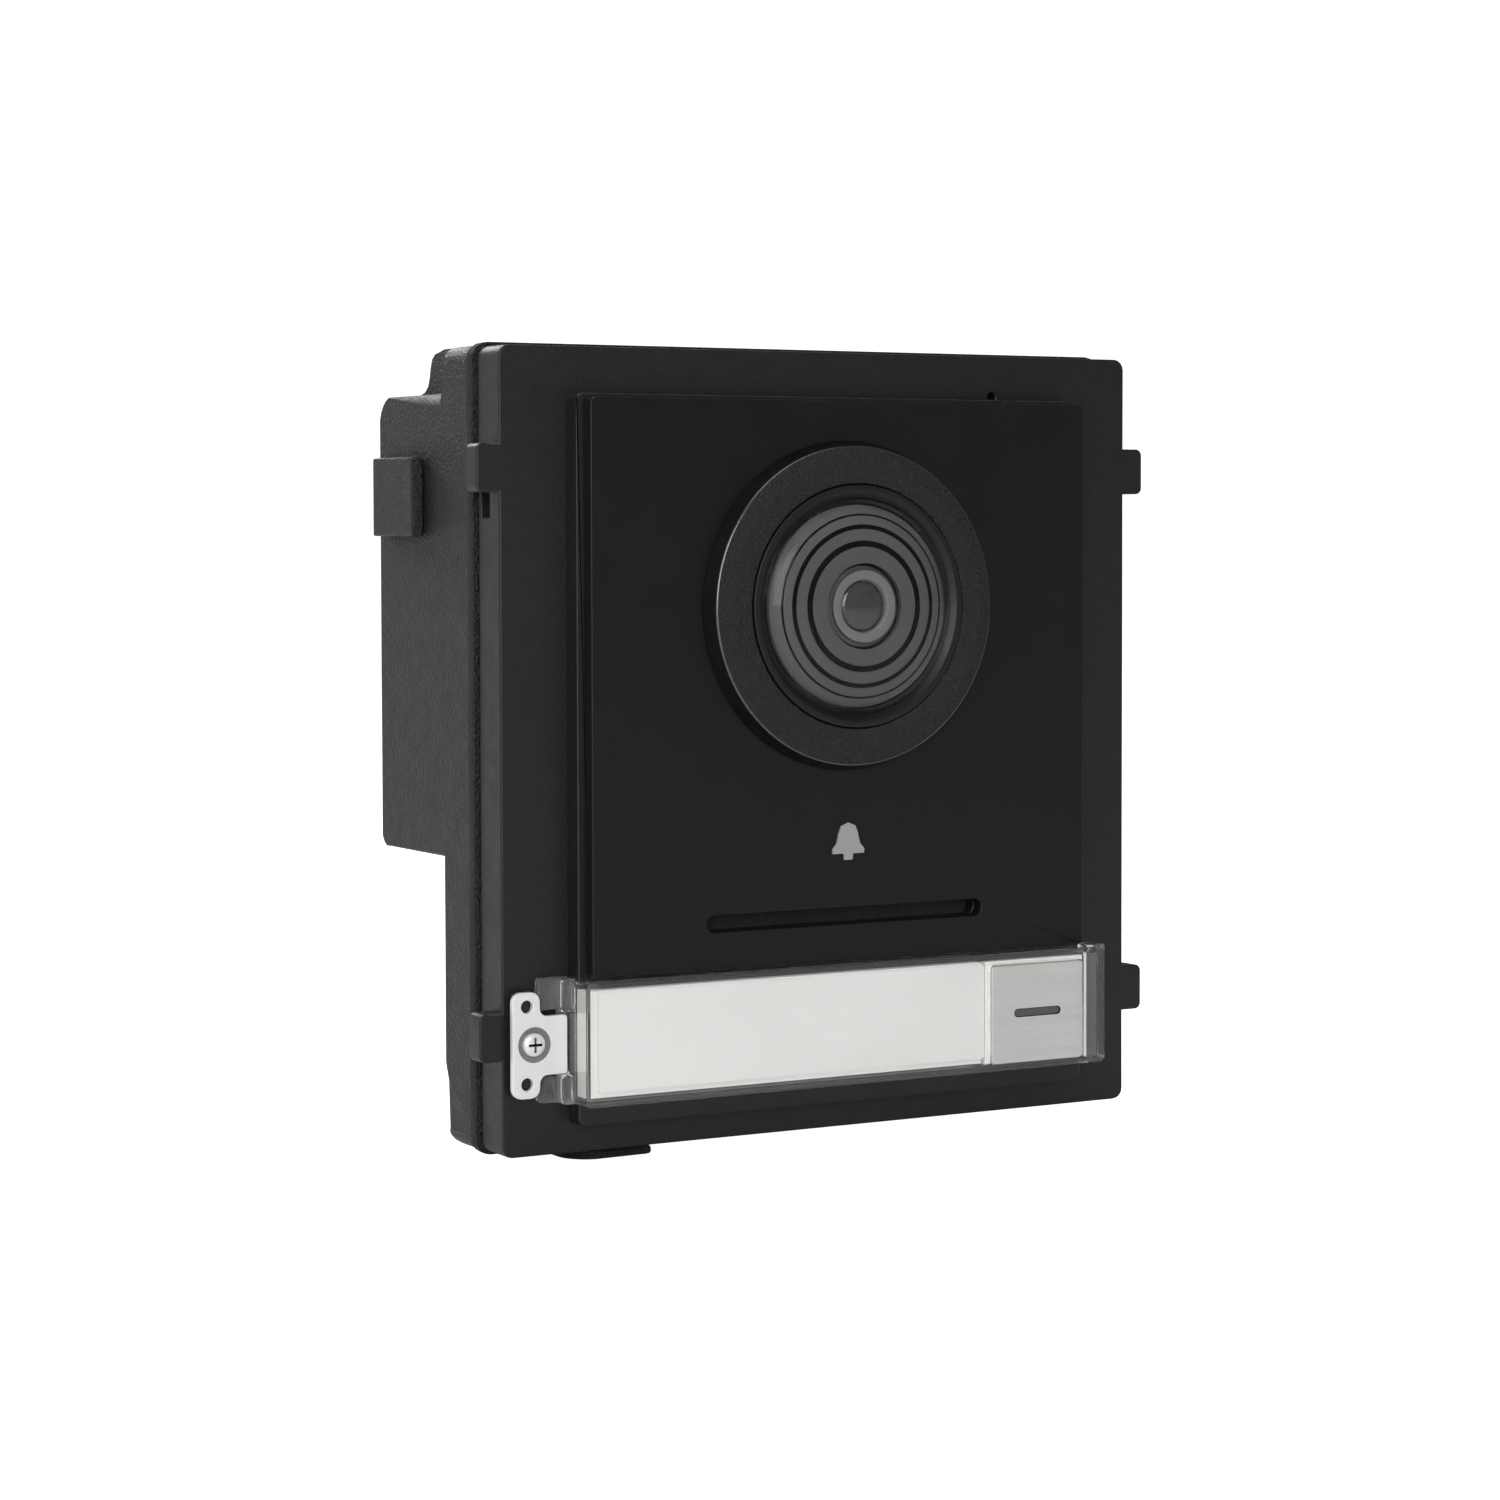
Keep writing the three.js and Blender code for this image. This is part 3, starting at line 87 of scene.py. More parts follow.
def pickEdges(piece, wanted):
    # selects the edges whose own middle, direction and face angle pass the test
    mesh = bmesh.from_edit_mesh(piece.data)
    found = 0
    for edge in mesh.edges:
        if len(edge.link_faces) != 2:
            continue
        middle = (edge.verts[0].co + edge.verts[1].co) / 2
        run = edge.verts[1].co - edge.verts[0].co
        if wanted(middle, run, edge.calc_face_angle_signed(0)):
            edge.select_set(True)
            found += 1
    mesh.select_flush_mode()
    bmesh.update_edit_mesh(piece.data)
    return found


def roundEdges(piece, wanted, width, segments=2):
    editPiece(piece, "EDGE")
    if pickEdges(piece, wanted):
        bpy.ops.mesh.bevel(offset=width, segments=segments, affect="EDGES", clamp_overlap=False)
    leaveEdit()


def addBlock(name, low, high):
    deselectAll()
    low, high = Vector(low), Vector(high)
    bpy.ops.mesh.primitive_cube_add(size=1, location=(low + high) / 2)
    piece = bpy.context.object
    piece.name = name
    piece.scale = high - low
    bpy.ops.object.transform_apply(location=True, rotation=True, scale=True)
    return piece


def turnProfile(name, x, z, profile, steps=128):
    # a row of points pulled out one after another, then spun round the depth axis
    deselectAll()
    bpy.ops.mesh.primitive_plane_add(size=mm, location=(0, 0, 0))
    piece = bpy.context.object
    piece.name = name
    bpy.ops.object.mode_set(mode="EDIT")
    bpy.ops.mesh.select_mode(type="VERT")
    bpy.ops.mesh.select_all(action="SELECT")
    bpy.ops.mesh.merge(type="CENTER")
    last = Vector((0, 0, 0))
    for count, (radius, depth) in enumerate(profile):
        point = Vector((x + radius, depth, z))
        step = tuple(point - last)
        if count == 0:
            bpy.ops.transform.translate(value=step)
        else:
            bpy.ops.mesh.extrude_vertices_move(TRANSFORM_OT_translate={"value": step})
        last = point
    bpy.ops.mesh.select_all(action="SELECT")
    bpy.ops.mesh.spin(steps=steps, angle=2 * math.pi, center=(x, 0, z), axis=(0, 1, 0))
    bpy.ops.mesh.select_all(action="SELECT")
    bpy.ops.mesh.remove_doubles(threshold=0.002 * mm)
    bpy.ops.mesh.normals_make_consistent(inside=False)
    leaveEdit()
    return piece


def roundProfile(points, radius, parts=3):
    # the same outline with each corner between its ends rounded off by short straight steps
    out = []
    count = len(points)
    for i, (r, y) in enumerate(points):
        here = Vector((r, y))
        before = Vector(points[i - 1]) if i else None
        after = Vector(points[i + 1]) if i + 1 < count else None
        if before is None or after is None:
            out.append((r, y))
            continue
        reach = min(radius, (here - before).length * 0.45, (after - here).length * 0.45)
        start = here + (before - here).normalized() * reach
        end = here + (after - here).normalized() * reach
        for k in range(parts + 1):
            t = k / parts
            spot = start * (1 - t) ** 2 + here * 2 * t * (1 - t) + end * t ** 2
            out.append((spot.x, spot.y))
    return out


def copyNode(node, name):
    piece = bpy.data.objects.new(name, nodes[node].data.copy())
    bpy.context.scene.collection.objects.link(piece)
    editPiece(piece)
    bpy.ops.mesh.select_all(action="SELECT")
    bpy.ops.mesh.remove_doubles(threshold=0.001 * mm)
    bpy.ops.mesh.dissolve_limited(angle_limit=math.radians(0.6))
    leaveEdit()
    return piece


def cutWith(piece, cutter):
    makeActive(piece)
    change = piece.modifiers.new("cut", "BOOLEAN")
    change.operation = "DIFFERENCE"
    change.solver = "EXACT"
    change.object = cutter
    bpy.ops.object.modifier_apply(modifier=change.name)
    bpy.data.objects.remove(cutter)


def finishPiece(piece, material, body, replaced=None, angle=35):
    makeActive(piece)
    piece.data.materials.clear()
    piece.data.materials.append(material)
    bpy.ops.object.shade_smooth_by_angle(angle=math.radians(angle))
    even = piece.modifiers.new("evenShading", "WEIGHTED_NORMAL")     # broad flats keep their own normal
    even.keep_sharp = True
    even.weight = 100
    bpy.ops.object.modifier_apply(modifier=even.name)
    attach(piece, body)
    if replaced:
        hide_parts(replaced)
    return piece


def paintFaces(piece, material, wanted):
    piece.data.materials.append(material)
    for face in piece.data.polygons:
        if wanted(face.center, face.normal):
            face.material_index = len(piece.data.materials) - 1


def limits(node):
    low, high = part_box(node)
    return low, high, (low + high) / 2


# shader groups: each makes a mask, a tone or a height that several finishes share

def startGroup(name, inputs, outputs):
    tree = bpy.data.node_groups.new(name, "ShaderNodeTree")
    for label, kind, value in inputs:
        socket = tree.interface.new_socket(name=label, in_out="INPUT", socket_type=kind)
        if value is not None:
            socket.default_value = value
    for label, kind in outputs:
        tree.interface.new_socket(name=label, in_out="OUTPUT", socket_type=kind)
    return tree, tree.nodes.new("NodeGroupInput"), tree.nodes.new("NodeGroupOutput")


def addMath(tree, operation, first, second, clamp=False):
    node = tree.nodes.new("ShaderNodeMath")
    node.operation = operation
    node.use_clamp = clamp
    for socket, value in zip(node.inputs, (first, second)):
        if isinstance(value, (int, float)):
            socket.default_value = value
        elif value is not None:
            tree.links.new(value, socket)
    return node.outputs[0]


def addNoise(tree, vector, scale, detail=3.0, roughness=0.5):
    node = tree.nodes.new("ShaderNodeTexNoise")
    node.inputs["Detail"].default_value = detail
    node.inputs["Roughness"].default_value = roughness
    tree.links.new(vector, node.inputs["Vector"])
    if isinstance(scale, (int, float)):
        node.inputs["Scale"].default_value = scale
    else:
        tree.links.new(scale, node.inputs["Scale"])
    return node.outputs["Fac"]


def spread(tree, value, low, high):
    node = tree.nodes.new("ShaderNodeMapRange")
    tree.links.new(value, node.inputs["Value"])
    node.inputs["From Min"].default_value = low
    node.inputs["From Max"].default_value = high
    return node.outputs["Result"]


def buildSparkGrain():
    # fine eroded texture of a moulding tool: rounded pits with smaller grit on top, and a mask of scattered
    # dots for painted glints
    tree, given, result = startGroup(
        "sparkGrain",
        [("Vector", "NodeSocketVector", None), ("Scale", "NodeSocketFloat", 2600.0),
         ("Grit", "NodeSocketFloat", 0.35)],
        [("Height", "NodeSocketFloat"), ("PaintedGlint", "NodeSocketFloat")])
    pits = tree.nodes.new("ShaderNodeTexVoronoi")
    pits.feature = "SMOOTH_F1"
    tree.links.new(given.outputs["Vector"], pits.inputs["Vector"])
    tree.links.new(given.outputs["Scale"], pits.inputs["Scale"])
    finer = addMath(tree, "MULTIPLY", given.outputs["Scale"], 2.3)
    grit = addNoise(tree, given.outputs["Vector"], finer, 2.0)
    gritPart = addMath(tree, "MULTIPLY", grit, given.outputs["Grit"])
    height = addMath(tree, "ADD", pits.outputs["Distance"], gritPart)
    tree.links.new(height, result.inputs["Height"])
    tree.links.new(spread(tree, grit, 0.58, 0.74), result.inputs["PaintedGlint"])
    return tree


def buildUnevenTone():
    # slow cloudy change across a moulding, plus a finer mottling
    tree, given, result = startGroup(
        "unevenTone",
        [("Vector", "NodeSocketVector", None), ("Scale", "NodeSocketFloat", 30.0)],
        [("Cloud", "NodeSocketFloat"), ("Mottle", "NodeSocketFloat")])
    cloud = addNoise(tree, given.outputs["Vector"], given.outputs["Scale"], 4.0, 0.55)
    finer = addMath(tree, "MULTIPLY", given.outputs["Scale"], 14)
    mottle = addNoise(tree, given.outputs["Vector"], finer, 3.0)
    tree.links.new(spread(tree, cloud, 0.3, 0.7), result.inputs["Cloud"])
    tree.links.new(spread(tree, mottle, 0.3, 0.7), result.inputs["Mottle"])
    return tree


def buildRubbedEdge():
    # edges polished by handling: where a rounded normal leaves the true one, broken up by noise
    tree, given, result = startGroup(
        "rubbedEdge",
        [("Vector", "NodeSocketVector", None), ("Radius", "NodeSocketFloat", 0.00025)],
        [("Mask", "NodeSocketFloat")])
    shape = tree.nodes.new("ShaderNodeNewGeometry")
    soft = tree.nodes.new("ShaderNodeBevel")
    soft.samples = 4
    tree.links.new(given.outputs["Radius"], soft.inputs["Radius"])
    match = tree.nodes.new("ShaderNodeVectorMath")
    match.operation = "DOT_PRODUCT"
    tree.links.new(soft.outputs["Normal"], match.inputs[0])
    tree.links.new(shape.outputs["Normal"], match.inputs[1])
    share = spread(tree, addMath(tree, "SUBTRACT", 1.0, match.outputs["Value"]), 0.02, 0.25)
    broken = spread(tree, addNoise(tree, given.outputs["Vector"], 420.0, 3.0), 0.35, 0.6)
    tree.links.new(addMath(tree, "MULTIPLY", share, broken), result.inputs["Mask"])
    return tree


def buildRestingDust():
    # thin dust on what faces up
    tree, given, result = startGroup(
        "restingDust",
        [("Vector", "NodeSocketVector", None), ("Amount", "NodeSocketFloat", 0.3)],
        [("Mask", "NodeSocketFloat")])
    shape = tree.nodes.new("ShaderNodeNewGeometry")
    split = tree.nodes.new("ShaderNodeSeparateXYZ")
    tree.links.new(shape.outputs["Normal"], split.inputs[0])
    up = spread(tree, split.outputs["Z"], 0.35, 1.0)
    flecks = spread(tree, addNoise(tree, given.outputs["Vector"], 700.0, 4.0, 0.65), 0.45, 0.75)
    patchy = addMath(tree, "MULTIPLY", up, flecks)
    tree.links.new(addMath(tree, "MULTIPLY", patchy, given.outputs["Amount"]), result.inputs["Mask"])
    return tree


def buildBrushLines():
    # long fine scratches that run along X
    tree, given, result = startGroup(
        "brushLines",
        [("Vector", "NodeSocketVector", None), ("Scale", "NodeSocketFloat", 900.0)],
        [("Height", "NodeSocketFloat"), ("Tone", "NodeSocketFloat")])
    stretch = tree.nodes.new("ShaderNodeMapping")
    stretch.inputs["Scale"].default_value = (0.02, 1.0, 1.0)
    tree.links.new(given.outputs["Vector"], stretch.inputs["Vector"])
    lines = addNoise(tree, stretch.outputs["Vector"], given.outputs["Scale"], 5.0, 0.7)
    wider = addMath(tree, "MULTIPLY", given.outputs["Scale"], 0.18)
    bands = addNoise(tree, stretch.outputs["Vector"], wider, 2.0)
    tone = addMath(tree, "ADD", addMath(tree, "MULTIPLY", lines, 0.6), addMath(tree, "MULTIPLY", bands, 0.4))
    tree.links.new(lines, result.inputs["Height"])
    tree.links.new(spread(tree, tone, 0.3, 0.7), result.inputs["Tone"])
    return tree


sparkGrain = buildSparkGrain()
unevenTone = buildUnevenTone()
rubbedEdge = buildRubbedEdge()
restingDust = buildRestingDust()
brushLines = buildBrushLines()
print("shader groups ready")


# finishes

def grey(tone):
    return tone, tone, tone


def startFinish(name):
    material = bpy.data.materials.new(name)
    material.use_nodes = True
    tree = material.node_tree
    shader = tree.nodes["Principled BSDF"]
    spot = tree.nodes.new("ShaderNodeTexCoord").outputs["Object"]
    return material, tree, shader, spot


def placeGroup(tree, group, spot, **values):
    node = tree.nodes.new("ShaderNodeGroup")
    node.node_tree = group
    tree.links.new(spot, node.inputs["Vector"])
    for label, value in values.items():
        node.inputs[label].default_value = value
    return node.outputs


def mixColour(tree, share, first, second):
    node = tree.nodes.new("ShaderNodeMix")
    node.data_type = "RGBA"
    tree.links.new(share, node.inputs[0])
    for socket, value in ((node.inputs[6], first), (node.inputs[7], second)):
        if isinstance(value, tuple):
            socket.default_value = (*value, 1)
        else:
            tree.links.new(value, socket)
    return node.outputs[2]


def between(tree, share, low, high):
    node = tree.nodes.new("ShaderNodeMapRange")
    tree.links.new(share, node.inputs["Value"])
    node.inputs["To Min"].default_value = low
    node.inputs["To Max"].default_value = high
    return node.outputs["Result"]


def addBump(tree, shader, height, strength, distance, below=None):
    node = tree.nodes.new("ShaderNodeBump")
    node.inputs["Strength"].default_value = strength
    node.inputs["Distance"].default_value = distance
    tree.links.new(height, node.inputs["Height"])
    if below is not None:
        tree.links.new(below, node.inputs["Normal"])
    tree.links.new(node.outputs["Normal"], shader.inputs["Normal"])
    return node.outputs["Normal"]


def mouldedPlastic(name, look):
    # opaque injection-moulded plastic: cloudy tone, tool grain with lighter dots as painted glints, rubbed
    # edges and a little dust
    material, tree, shader, spot = startFinish(name)
    tone = placeGroup(tree, unevenTone, spot, Scale=look.get("cloudScale", 32.0))
    grain = placeGroup(tree, sparkGrain, spot, Scale=look["grainScale"], Grit=look.get("grit", 0.35))
    edge = placeGroup(tree, rubbedEdge, spot)
    dust = placeGroup(tree, restingDust, spot, Amount=look.get("dust", 0.12))
    base = mixColour(tree, tone["Cloud"], look["dark"], look["light"])
    # lighter dots on the grain are painted glints
    glintDots = addMath(tree, "MULTIPLY", grain["PaintedGlint"], look.get("glintAmount", 0.15))
    glinted = mixColour(tree, glintDots, base, look["glintAndWearTone"])
    # rubbed edges take the same light tone, as wear
    rubs = addMath(tree, "MULTIPLY", edge["Mask"], look.get("rub", 0.3))
    rubbed = mixColour(tree, rubs, glinted, look["glintAndWearTone"])
    dusty = mixColour(tree, dust["Mask"], rubbed, (0.32, 0.31, 0.3))
    tree.links.new(dusty, shader.inputs["Base Color"])
    rough = between(tree, tone["Mottle"], look["smooth"], look["rough"])
    dustRough = addMath(tree, "MULTIPLY", dust["Mask"], 0.3)
    tree.links.new(addMath(tree, "ADD", rough, dustRough), shader.inputs["Roughness"])
    shader.inputs["Specular IOR Level"].default_value = look.get("specular", 0.5)
    addBump(tree, shader, grain["Height"], look["bump"], look["bumpDepth"])
    return material


def clearPlastic(name, look):
    # see-through plastic that lets the lamps through to what is behind it
    material, tree, shader, spot = startFinish(name)
    tone = placeGroup(tree, unevenTone, spot, Scale=60.0)
    shader.inputs["Base Color"].default_value = (*look["colour"], 1)
    tree.links.new(between(tree, tone["Mottle"], look["smooth"], look["rough"]), shader.inputs["Roughness"])
    shader.inputs["IOR"].default_value = look["ior"]
    shader.inputs["Transmission Weight"].default_value = look.get("clear", 1.0)
    shader.inputs["Specular IOR Level"].default_value = look.get("specular", 0.5)
    addBump(tree, shader, tone["Cloud"], look["bump"], 0.0002)
    clear = tree.nodes.new("ShaderNodeBsdfTransparent")
    clear.inputs["Color"].default_value = (*look["shade"], 1)
    light = tree.nodes.new("ShaderNodeLightPath")
    blend = tree.nodes.new("ShaderNodeMixShader")
    tree.links.new(light.outputs["Is Shadow Ray"], blend.inputs[0])
    tree.links.new(shader.outputs[0], blend.inputs[1])
    tree.links.new(clear.outputs[0], blend.inputs[2])
    tree.links.new(blend.outputs[0], tree.nodes["Material Output"].inputs["Surface"])
    return material


def metalSheet(name, look):
    # sheet or turned metal: brush lines, cloudy tarnish and bright rubbed edges
    material, tree, shader, spot = startFinish(name)
    lines = placeGroup(tree, brushLines, spot, Scale=look["lineScale"])
    tone = placeGroup(tree, unevenTone, spot, Scale=look.get("cloudScale", 90.0))
    edge = placeGroup(tree, rubbedEdge, spot)
    base = mixColour(tree, lines["Tone"], look["dark"], look["light"])
    tarnish = addMath(tree, "MULTIPLY", tone["Cloud"], look.get("tarnish", 0.25))
    clouded = mixColour(tree, tarnish, base, look["tarnishTone"])
    rubs = addMath(tree, "MULTIPLY", edge["Mask"], 0.5)
    worn = mixColour(tree, rubs, clouded, look["light"])
    tree.links.new(worn, shader.inputs["Base Color"])
    shader.inputs["Metallic"].default_value = look.get("metallic", 1.0)
    tree.links.new(between(tree, tone["Mottle"], look["smooth"], look["rough"]), shader.inputs["Roughness"])
    shader.inputs["Anisotropic"].default_value = look.get("anisotropic", 0.0)
    addBump(tree, shader, lines["Height"], look["bump"], look["bumpDepth"])
    return material


def softRubber(name, dark, light):
    material, tree, shader, spot = startFinish(name)
    tone = placeGroup(tree, unevenTone, spot, Scale=80.0)
    dust = placeGroup(tree, restingDust, spot, Amount=0.35)
    base = mixColour(tree, tone["Mottle"], dark, light)
    tree.links.new(mixColour(tree, dust["Mask"], base, (0.3, 0.3, 0.29)), shader.inputs["Base Color"])
    tree.links.new(between(tree, tone["Cloud"], 0.75, 0.92), shader.inputs["Roughness"])
    addBump(tree, shader, tone["Mottle"], 0.25, 0.00008)
    return material


def circuitBoard(name):
    # green lacquer over copper tracks that show as slightly raised, lighter lines
    material, tree, shader, spot = startFinish(name)
    tone = placeGroup(tree, unevenTone, spot, Scale=40.0)
    tracks = tree.nodes.new("ShaderNodeTexBrick")
    tracks.inputs["Scale"].default_value = 160.0
    tracks.inputs["Mortar Size"].default_value = 0.035
    tree.links.new(spot, tracks.inputs["Vector"])
    lacquer = mixColour(tree, tone["Cloud"], (0.012, 0.09, 0.035), (0.02, 0.14, 0.055))
    colour = mixColour(tree, tracks.outputs["Fac"], lacquer, (0.05, 0.26, 0.1))
    tree.links.new(colour, shader.inputs["Base Color"])
    tree.links.new(between(tree, tone["Mottle"], 0.25, 0.42), shader.inputs["Roughness"])
    addBump(tree, shader, tracks.outputs["Fac"], 0.3, 0.00004)
    return material


def paperLabel(name):
    # white film: faint fibres and a soft unevenness from the lamps behind
    material, tree, shader, spot = startFinish(name)
    tone = placeGroup(tree, unevenTone, spot, Scale=22.0)
    fibres = placeGroup(tree, brushLines, spot, Scale=1500.0)
    base = mixColour(tree, tone["Cloud"], (0.655, 0.65, 0.645), (0.735, 0.73, 0.725))
    share = addMath(tree, "MULTIPLY", fibres["Tone"], 0.12)
    tree.links.new(mixColour(tree, share, base, (0.66, 0.655, 0.65)), shader.inputs["Base Color"])
    tree.links.new(between(tree, tone["Mottle"], 0.5, 0.65), shader.inputs["Roughness"])
    addBump(tree, shader, fibres["Height"], 0.08, 0.00003)
    return material


def lensCoating(name):
    # dark glass with a faint uneven bloom
    material, tree, shader, spot = startFinish(name)
    tone = placeGroup(tree, unevenTone, spot, Scale=120.0)
    bloom = mixColour(tree, tone["Mottle"], (0.036, 0.035, 0.035), (0.06, 0.055, 0.058))
    tree.links.new(mixColour(tree, tone["Cloud"], bloom, (0.04, 0.039, 0.038)), shader.inputs["Base Color"])
    tree.links.new(between(tree, tone["Mottle"], 0.02, 0.06), shader.inputs["Roughness"])
    shader.inputs["Coat Weight"].default_value = 1.0
    shader.inputs["Coat Roughness"].default_value = 0.02
    return material


satinBlack = mouldedPlastic("satinBlack", {
    "dark": (0.0066, 0.0066, 0.0068), "light": (0.0086, 0.0086, 0.0088), "glintAndWearTone": (0.05, 0.05, 0.052),
    "grainScale": 3200.0, "bump": 0.3, "bumpDepth": 0.00005, "smooth": 0.38, "rough": 0.48,
    "specular": 0.42})
grainedBlack = mouldedPlastic("grainedBlack", {
    "dark": (0.0085, 0.0085, 0.009), "light": (0.012, 0.012, 0.0125), "glintAndWearTone": (0.08, 0.08, 0.083),
    "glintAmount": 0.5, "grainScale": 2700.0, "grit": 0.9, "bump": 1.0, "bumpDepth": 0.0002, "smooth": 0.34,
    "rough": 0.44, "specular": 0.37})
bezelBlack = mouldedPlastic("bezelBlack", {
    "dark": (0.0055, 0.0055, 0.0057), "light": (0.0075, 0.0075, 0.0077), "glintAndWearTone": grey(0.06),
    "glintAmount": 0.3, "grainScale": 3300.0, "grit": 1.3, "bump": 1.0, "bumpDepth": 0.00015, "smooth": 0.22,
    "rough": 0.32, "specular": 0.36, "dust": 0.03})
trimBlack = mouldedPlastic("trimBlack", {
    "dark": (0.0065, 0.0065, 0.0066), "light": (0.0085, 0.0085, 0.0086), "glintAndWearTone": grey(0.03),
    "glintAmount": 0.03, "grainScale": 4200.0, "bump": 0.06, "bumpDepth": 0.00002, "smooth": 0.36,
    "rough": 0.44, "specular": 0.34, "dust": 0.0})
# the bezel's side wall: smoother than its face, and a darker colour as painted shade
wallGlossAndShade = mouldedPlastic("wallGlossAndShade", {
    "dark": grey(0.0042), "light": grey(0.006), "glintAndWearTone": grey(0.03), "glintAmount": 0.05, "grainScale": 4200.0,
    "bump": 0.1, "bumpDepth": 0.00002, "smooth": 0.2, "rough": 0.3, "specular": 0.36, "dust": 0.0})
# bright metal-like finish on the bezel's rim band: a painted highlight
paintedRimHighlight = metalSheet("paintedRimHighlight", {
    "dark": grey(0.1), "light": grey(0.16), "tarnishTone": grey(0.03), "tarnish": 0.5,
    "lineScale": 2600.0, "smooth": 0.12, "rough": 0.2, "bump": 0.1, "bumpDepth": 0.00002,
    "metallic": 0.8})
panelBlack = mouldedPlastic("panelBlack", {
    "dark": (0.0052, 0.0052, 0.0053), "light": (0.0064, 0.0064, 0.0065), "glintAndWearTone": grey(0.05),
    "glintAmount": 0.03, "grainScale": 4200.0, "bump": 0.06, "bumpDepth": 0.00002, "smooth": 0.34, "rough": 0.4,
    "dust": 0.05, "cloudScale": 12.0, "rub": 0.6, "specular": 0.26})
barrelGrain = {"grainScale": 3200.0, "bump": 0.1, "bumpDepth": 0.00002, "dust": 0.0}
baffleGrey = mouldedPlastic("baffleGrey", {
    "dark": grey(0.076), "light": grey(0.09), "glintAndWearTone": grey(0.12), "glintAmount": 0.08, "smooth": 0.6,
    "rough": 0.75, "specular": 0.2, **barrelGrain})
barrelGrey = mouldedPlastic("barrelGrey", {
    "dark": (0.15, 0.148, 0.146), "light": (0.17, 0.168, 0.166), "glintAndWearTone": grey(0.2), "glintAmount": 0.05,
    "smooth": 0.4, "rough": 0.5, **barrelGrain})
rimGrey = mouldedPlastic("rimGrey", {
    "dark": (0.05, 0.048, 0.046), "light": (0.06, 0.058, 0.056), "glintAndWearTone": grey(0.1), "glintAmount": 0.05,
    "smooth": 0.4, "rough": 0.5, **barrelGrain})
# near-black painted shade for the insides of grooves, the button's slot and the screw's cross
paintedGrooveShade = mouldedPlastic("paintedGrooveShade", {
    "dark": grey(0.002), "light": grey(0.004), "glintAndWearTone": grey(0.02), "glintAmount": 0.05, "smooth": 0.6,
    "rough": 0.75, "specular": 0.1, **barrelGrain})
socketBlack = mouldedPlastic("socketBlack", {
    "dark": grey(0.014), "light": grey(0.02), "glintAndWearTone": grey(0.08), "glintAmount": 0.1, "grainScale": 2600.0,
    "bump": 0.15, "bumpDepth": 0.00003, "smooth": 0.35, "rough": 0.48})
chipBlack = mouldedPlastic("chipBlack", {
    "dark": (0.012, 0.012, 0.013), "light": (0.018, 0.018, 0.019), "glintAndWearTone": grey(0.06),
    "grainScale": 3000.0, "bump": 0.3, "bumpDepth": 0.00003, "smooth": 0.5, "rough": 0.65})
terminalGreen = mouldedPlastic("terminalGreen", {
    "dark": (0.03, 0.22, 0.07), "light": (0.04, 0.29, 0.09), "glintAndWearTone": (0.2, 0.45, 0.25), "glintAmount": 0.08,
    "grainScale": 2200.0, "bump": 0.12, "bumpDepth": 0.00003, "smooth": 0.35, "rough": 0.5})
milkyWhite = mouldedPlastic("milkyWhite", {
    "dark": (0.66, 0.66, 0.64), "light": (0.74, 0.74, 0.72), "glintAndWearTone": (0.85, 0.85, 0.84), "glintAmount": 0.1,
    "grainScale": 1800.0, "bump": 0.1, "bumpDepth": 0.00003, "smooth": 0.3, "rough": 0.42})
silverFilm = mouldedPlastic("silverFilm", {
    "dark": (0.3, 0.3, 0.305), "light": (0.35, 0.35, 0.355), "glintAndWearTone": grey(0.5), "glintAmount": 0.2,
    "grainScale": 3000.0, "bump": 0.1, "bumpDepth": 0.00002, "smooth": 0.3, "rough": 0.42})
dashGrey = mouldedPlastic("dashGrey", {
    "dark": (0.07, 0.07, 0.072), "light": (0.09, 0.09, 0.092), "glintAndWearTone": grey(0.2), "glintAmount": 0.05,
    "grainScale": 3000.0, "bump": 0.05, "bumpDepth": 0.00002, "smooth": 0.25, "rough": 0.4})
brushedSteel = metalSheet("brushedSteel", {
    "dark": (0.56, 0.552, 0.54), "light": (0.68, 0.672, 0.66), "tarnishTone": (0.55, 0.542, 0.53),
    "lineScale": 2600.0, "smooth": 0.3, "rough": 0.42, "bump": 0.12, "bumpDepth": 0.00003,
    "anisotropic": 0.4, "metallic": 0.4})
zincSteel = metalSheet("zincSteel", {
    "dark": (0.82, 0.82, 0.816), "light": (0.9, 0.9, 0.896), "tarnishTone": grey(0.74), "tarnish": 0.3,
    "lineScale": 1200.0, "smooth": 0.36, "rough": 0.5, "bump": 0.1, "bumpDepth": 0.00003,
    "metallic": 0.3})
# dark steel tone for the pressed ring round the bracket screw, as painted shade
paintedDimpleShade = metalSheet("paintedDimpleShade", {
    "dark": grey(0.2), "light": grey(0.3), "tarnishTone": grey(0.16), "tarnish": 0.3, "lineScale": 1200.0,
    "smooth": 0.36, "rough": 0.5, "bump": 0.1, "bumpDepth": 0.00003, "metallic": 0.5})
brightSteel = metalSheet("brightSteel", {
    "dark": grey(0.8), "light": grey(0.9), "tarnishTone": grey(0.7), "tarnish": 0.2, "lineScale": 2200.0,
    "smooth": 0.22, "rough": 0.34, "bump": 0.05, "bumpDepth": 0.00002, "metallic": 0.3})
contactGold = metalSheet("contactGold", {
    "dark": (0.6, 0.42, 0.14), "light": (0.78, 0.58, 0.24), "tarnishTone": (0.5, 0.36, 0.16),
    "lineScale": 2600.0, "smooth": 0.18, "rough": 0.3, "bump": 0.05, "bumpDepth": 0.00002})
sealRubber = softRubber("sealRubber", grey(0.010), grey(0.016))
boardGreen = circuitBoard("boardGreen")
labelWhite = paperLabel("labelWhite")
lensGlass = lensCoating("lensGlass")
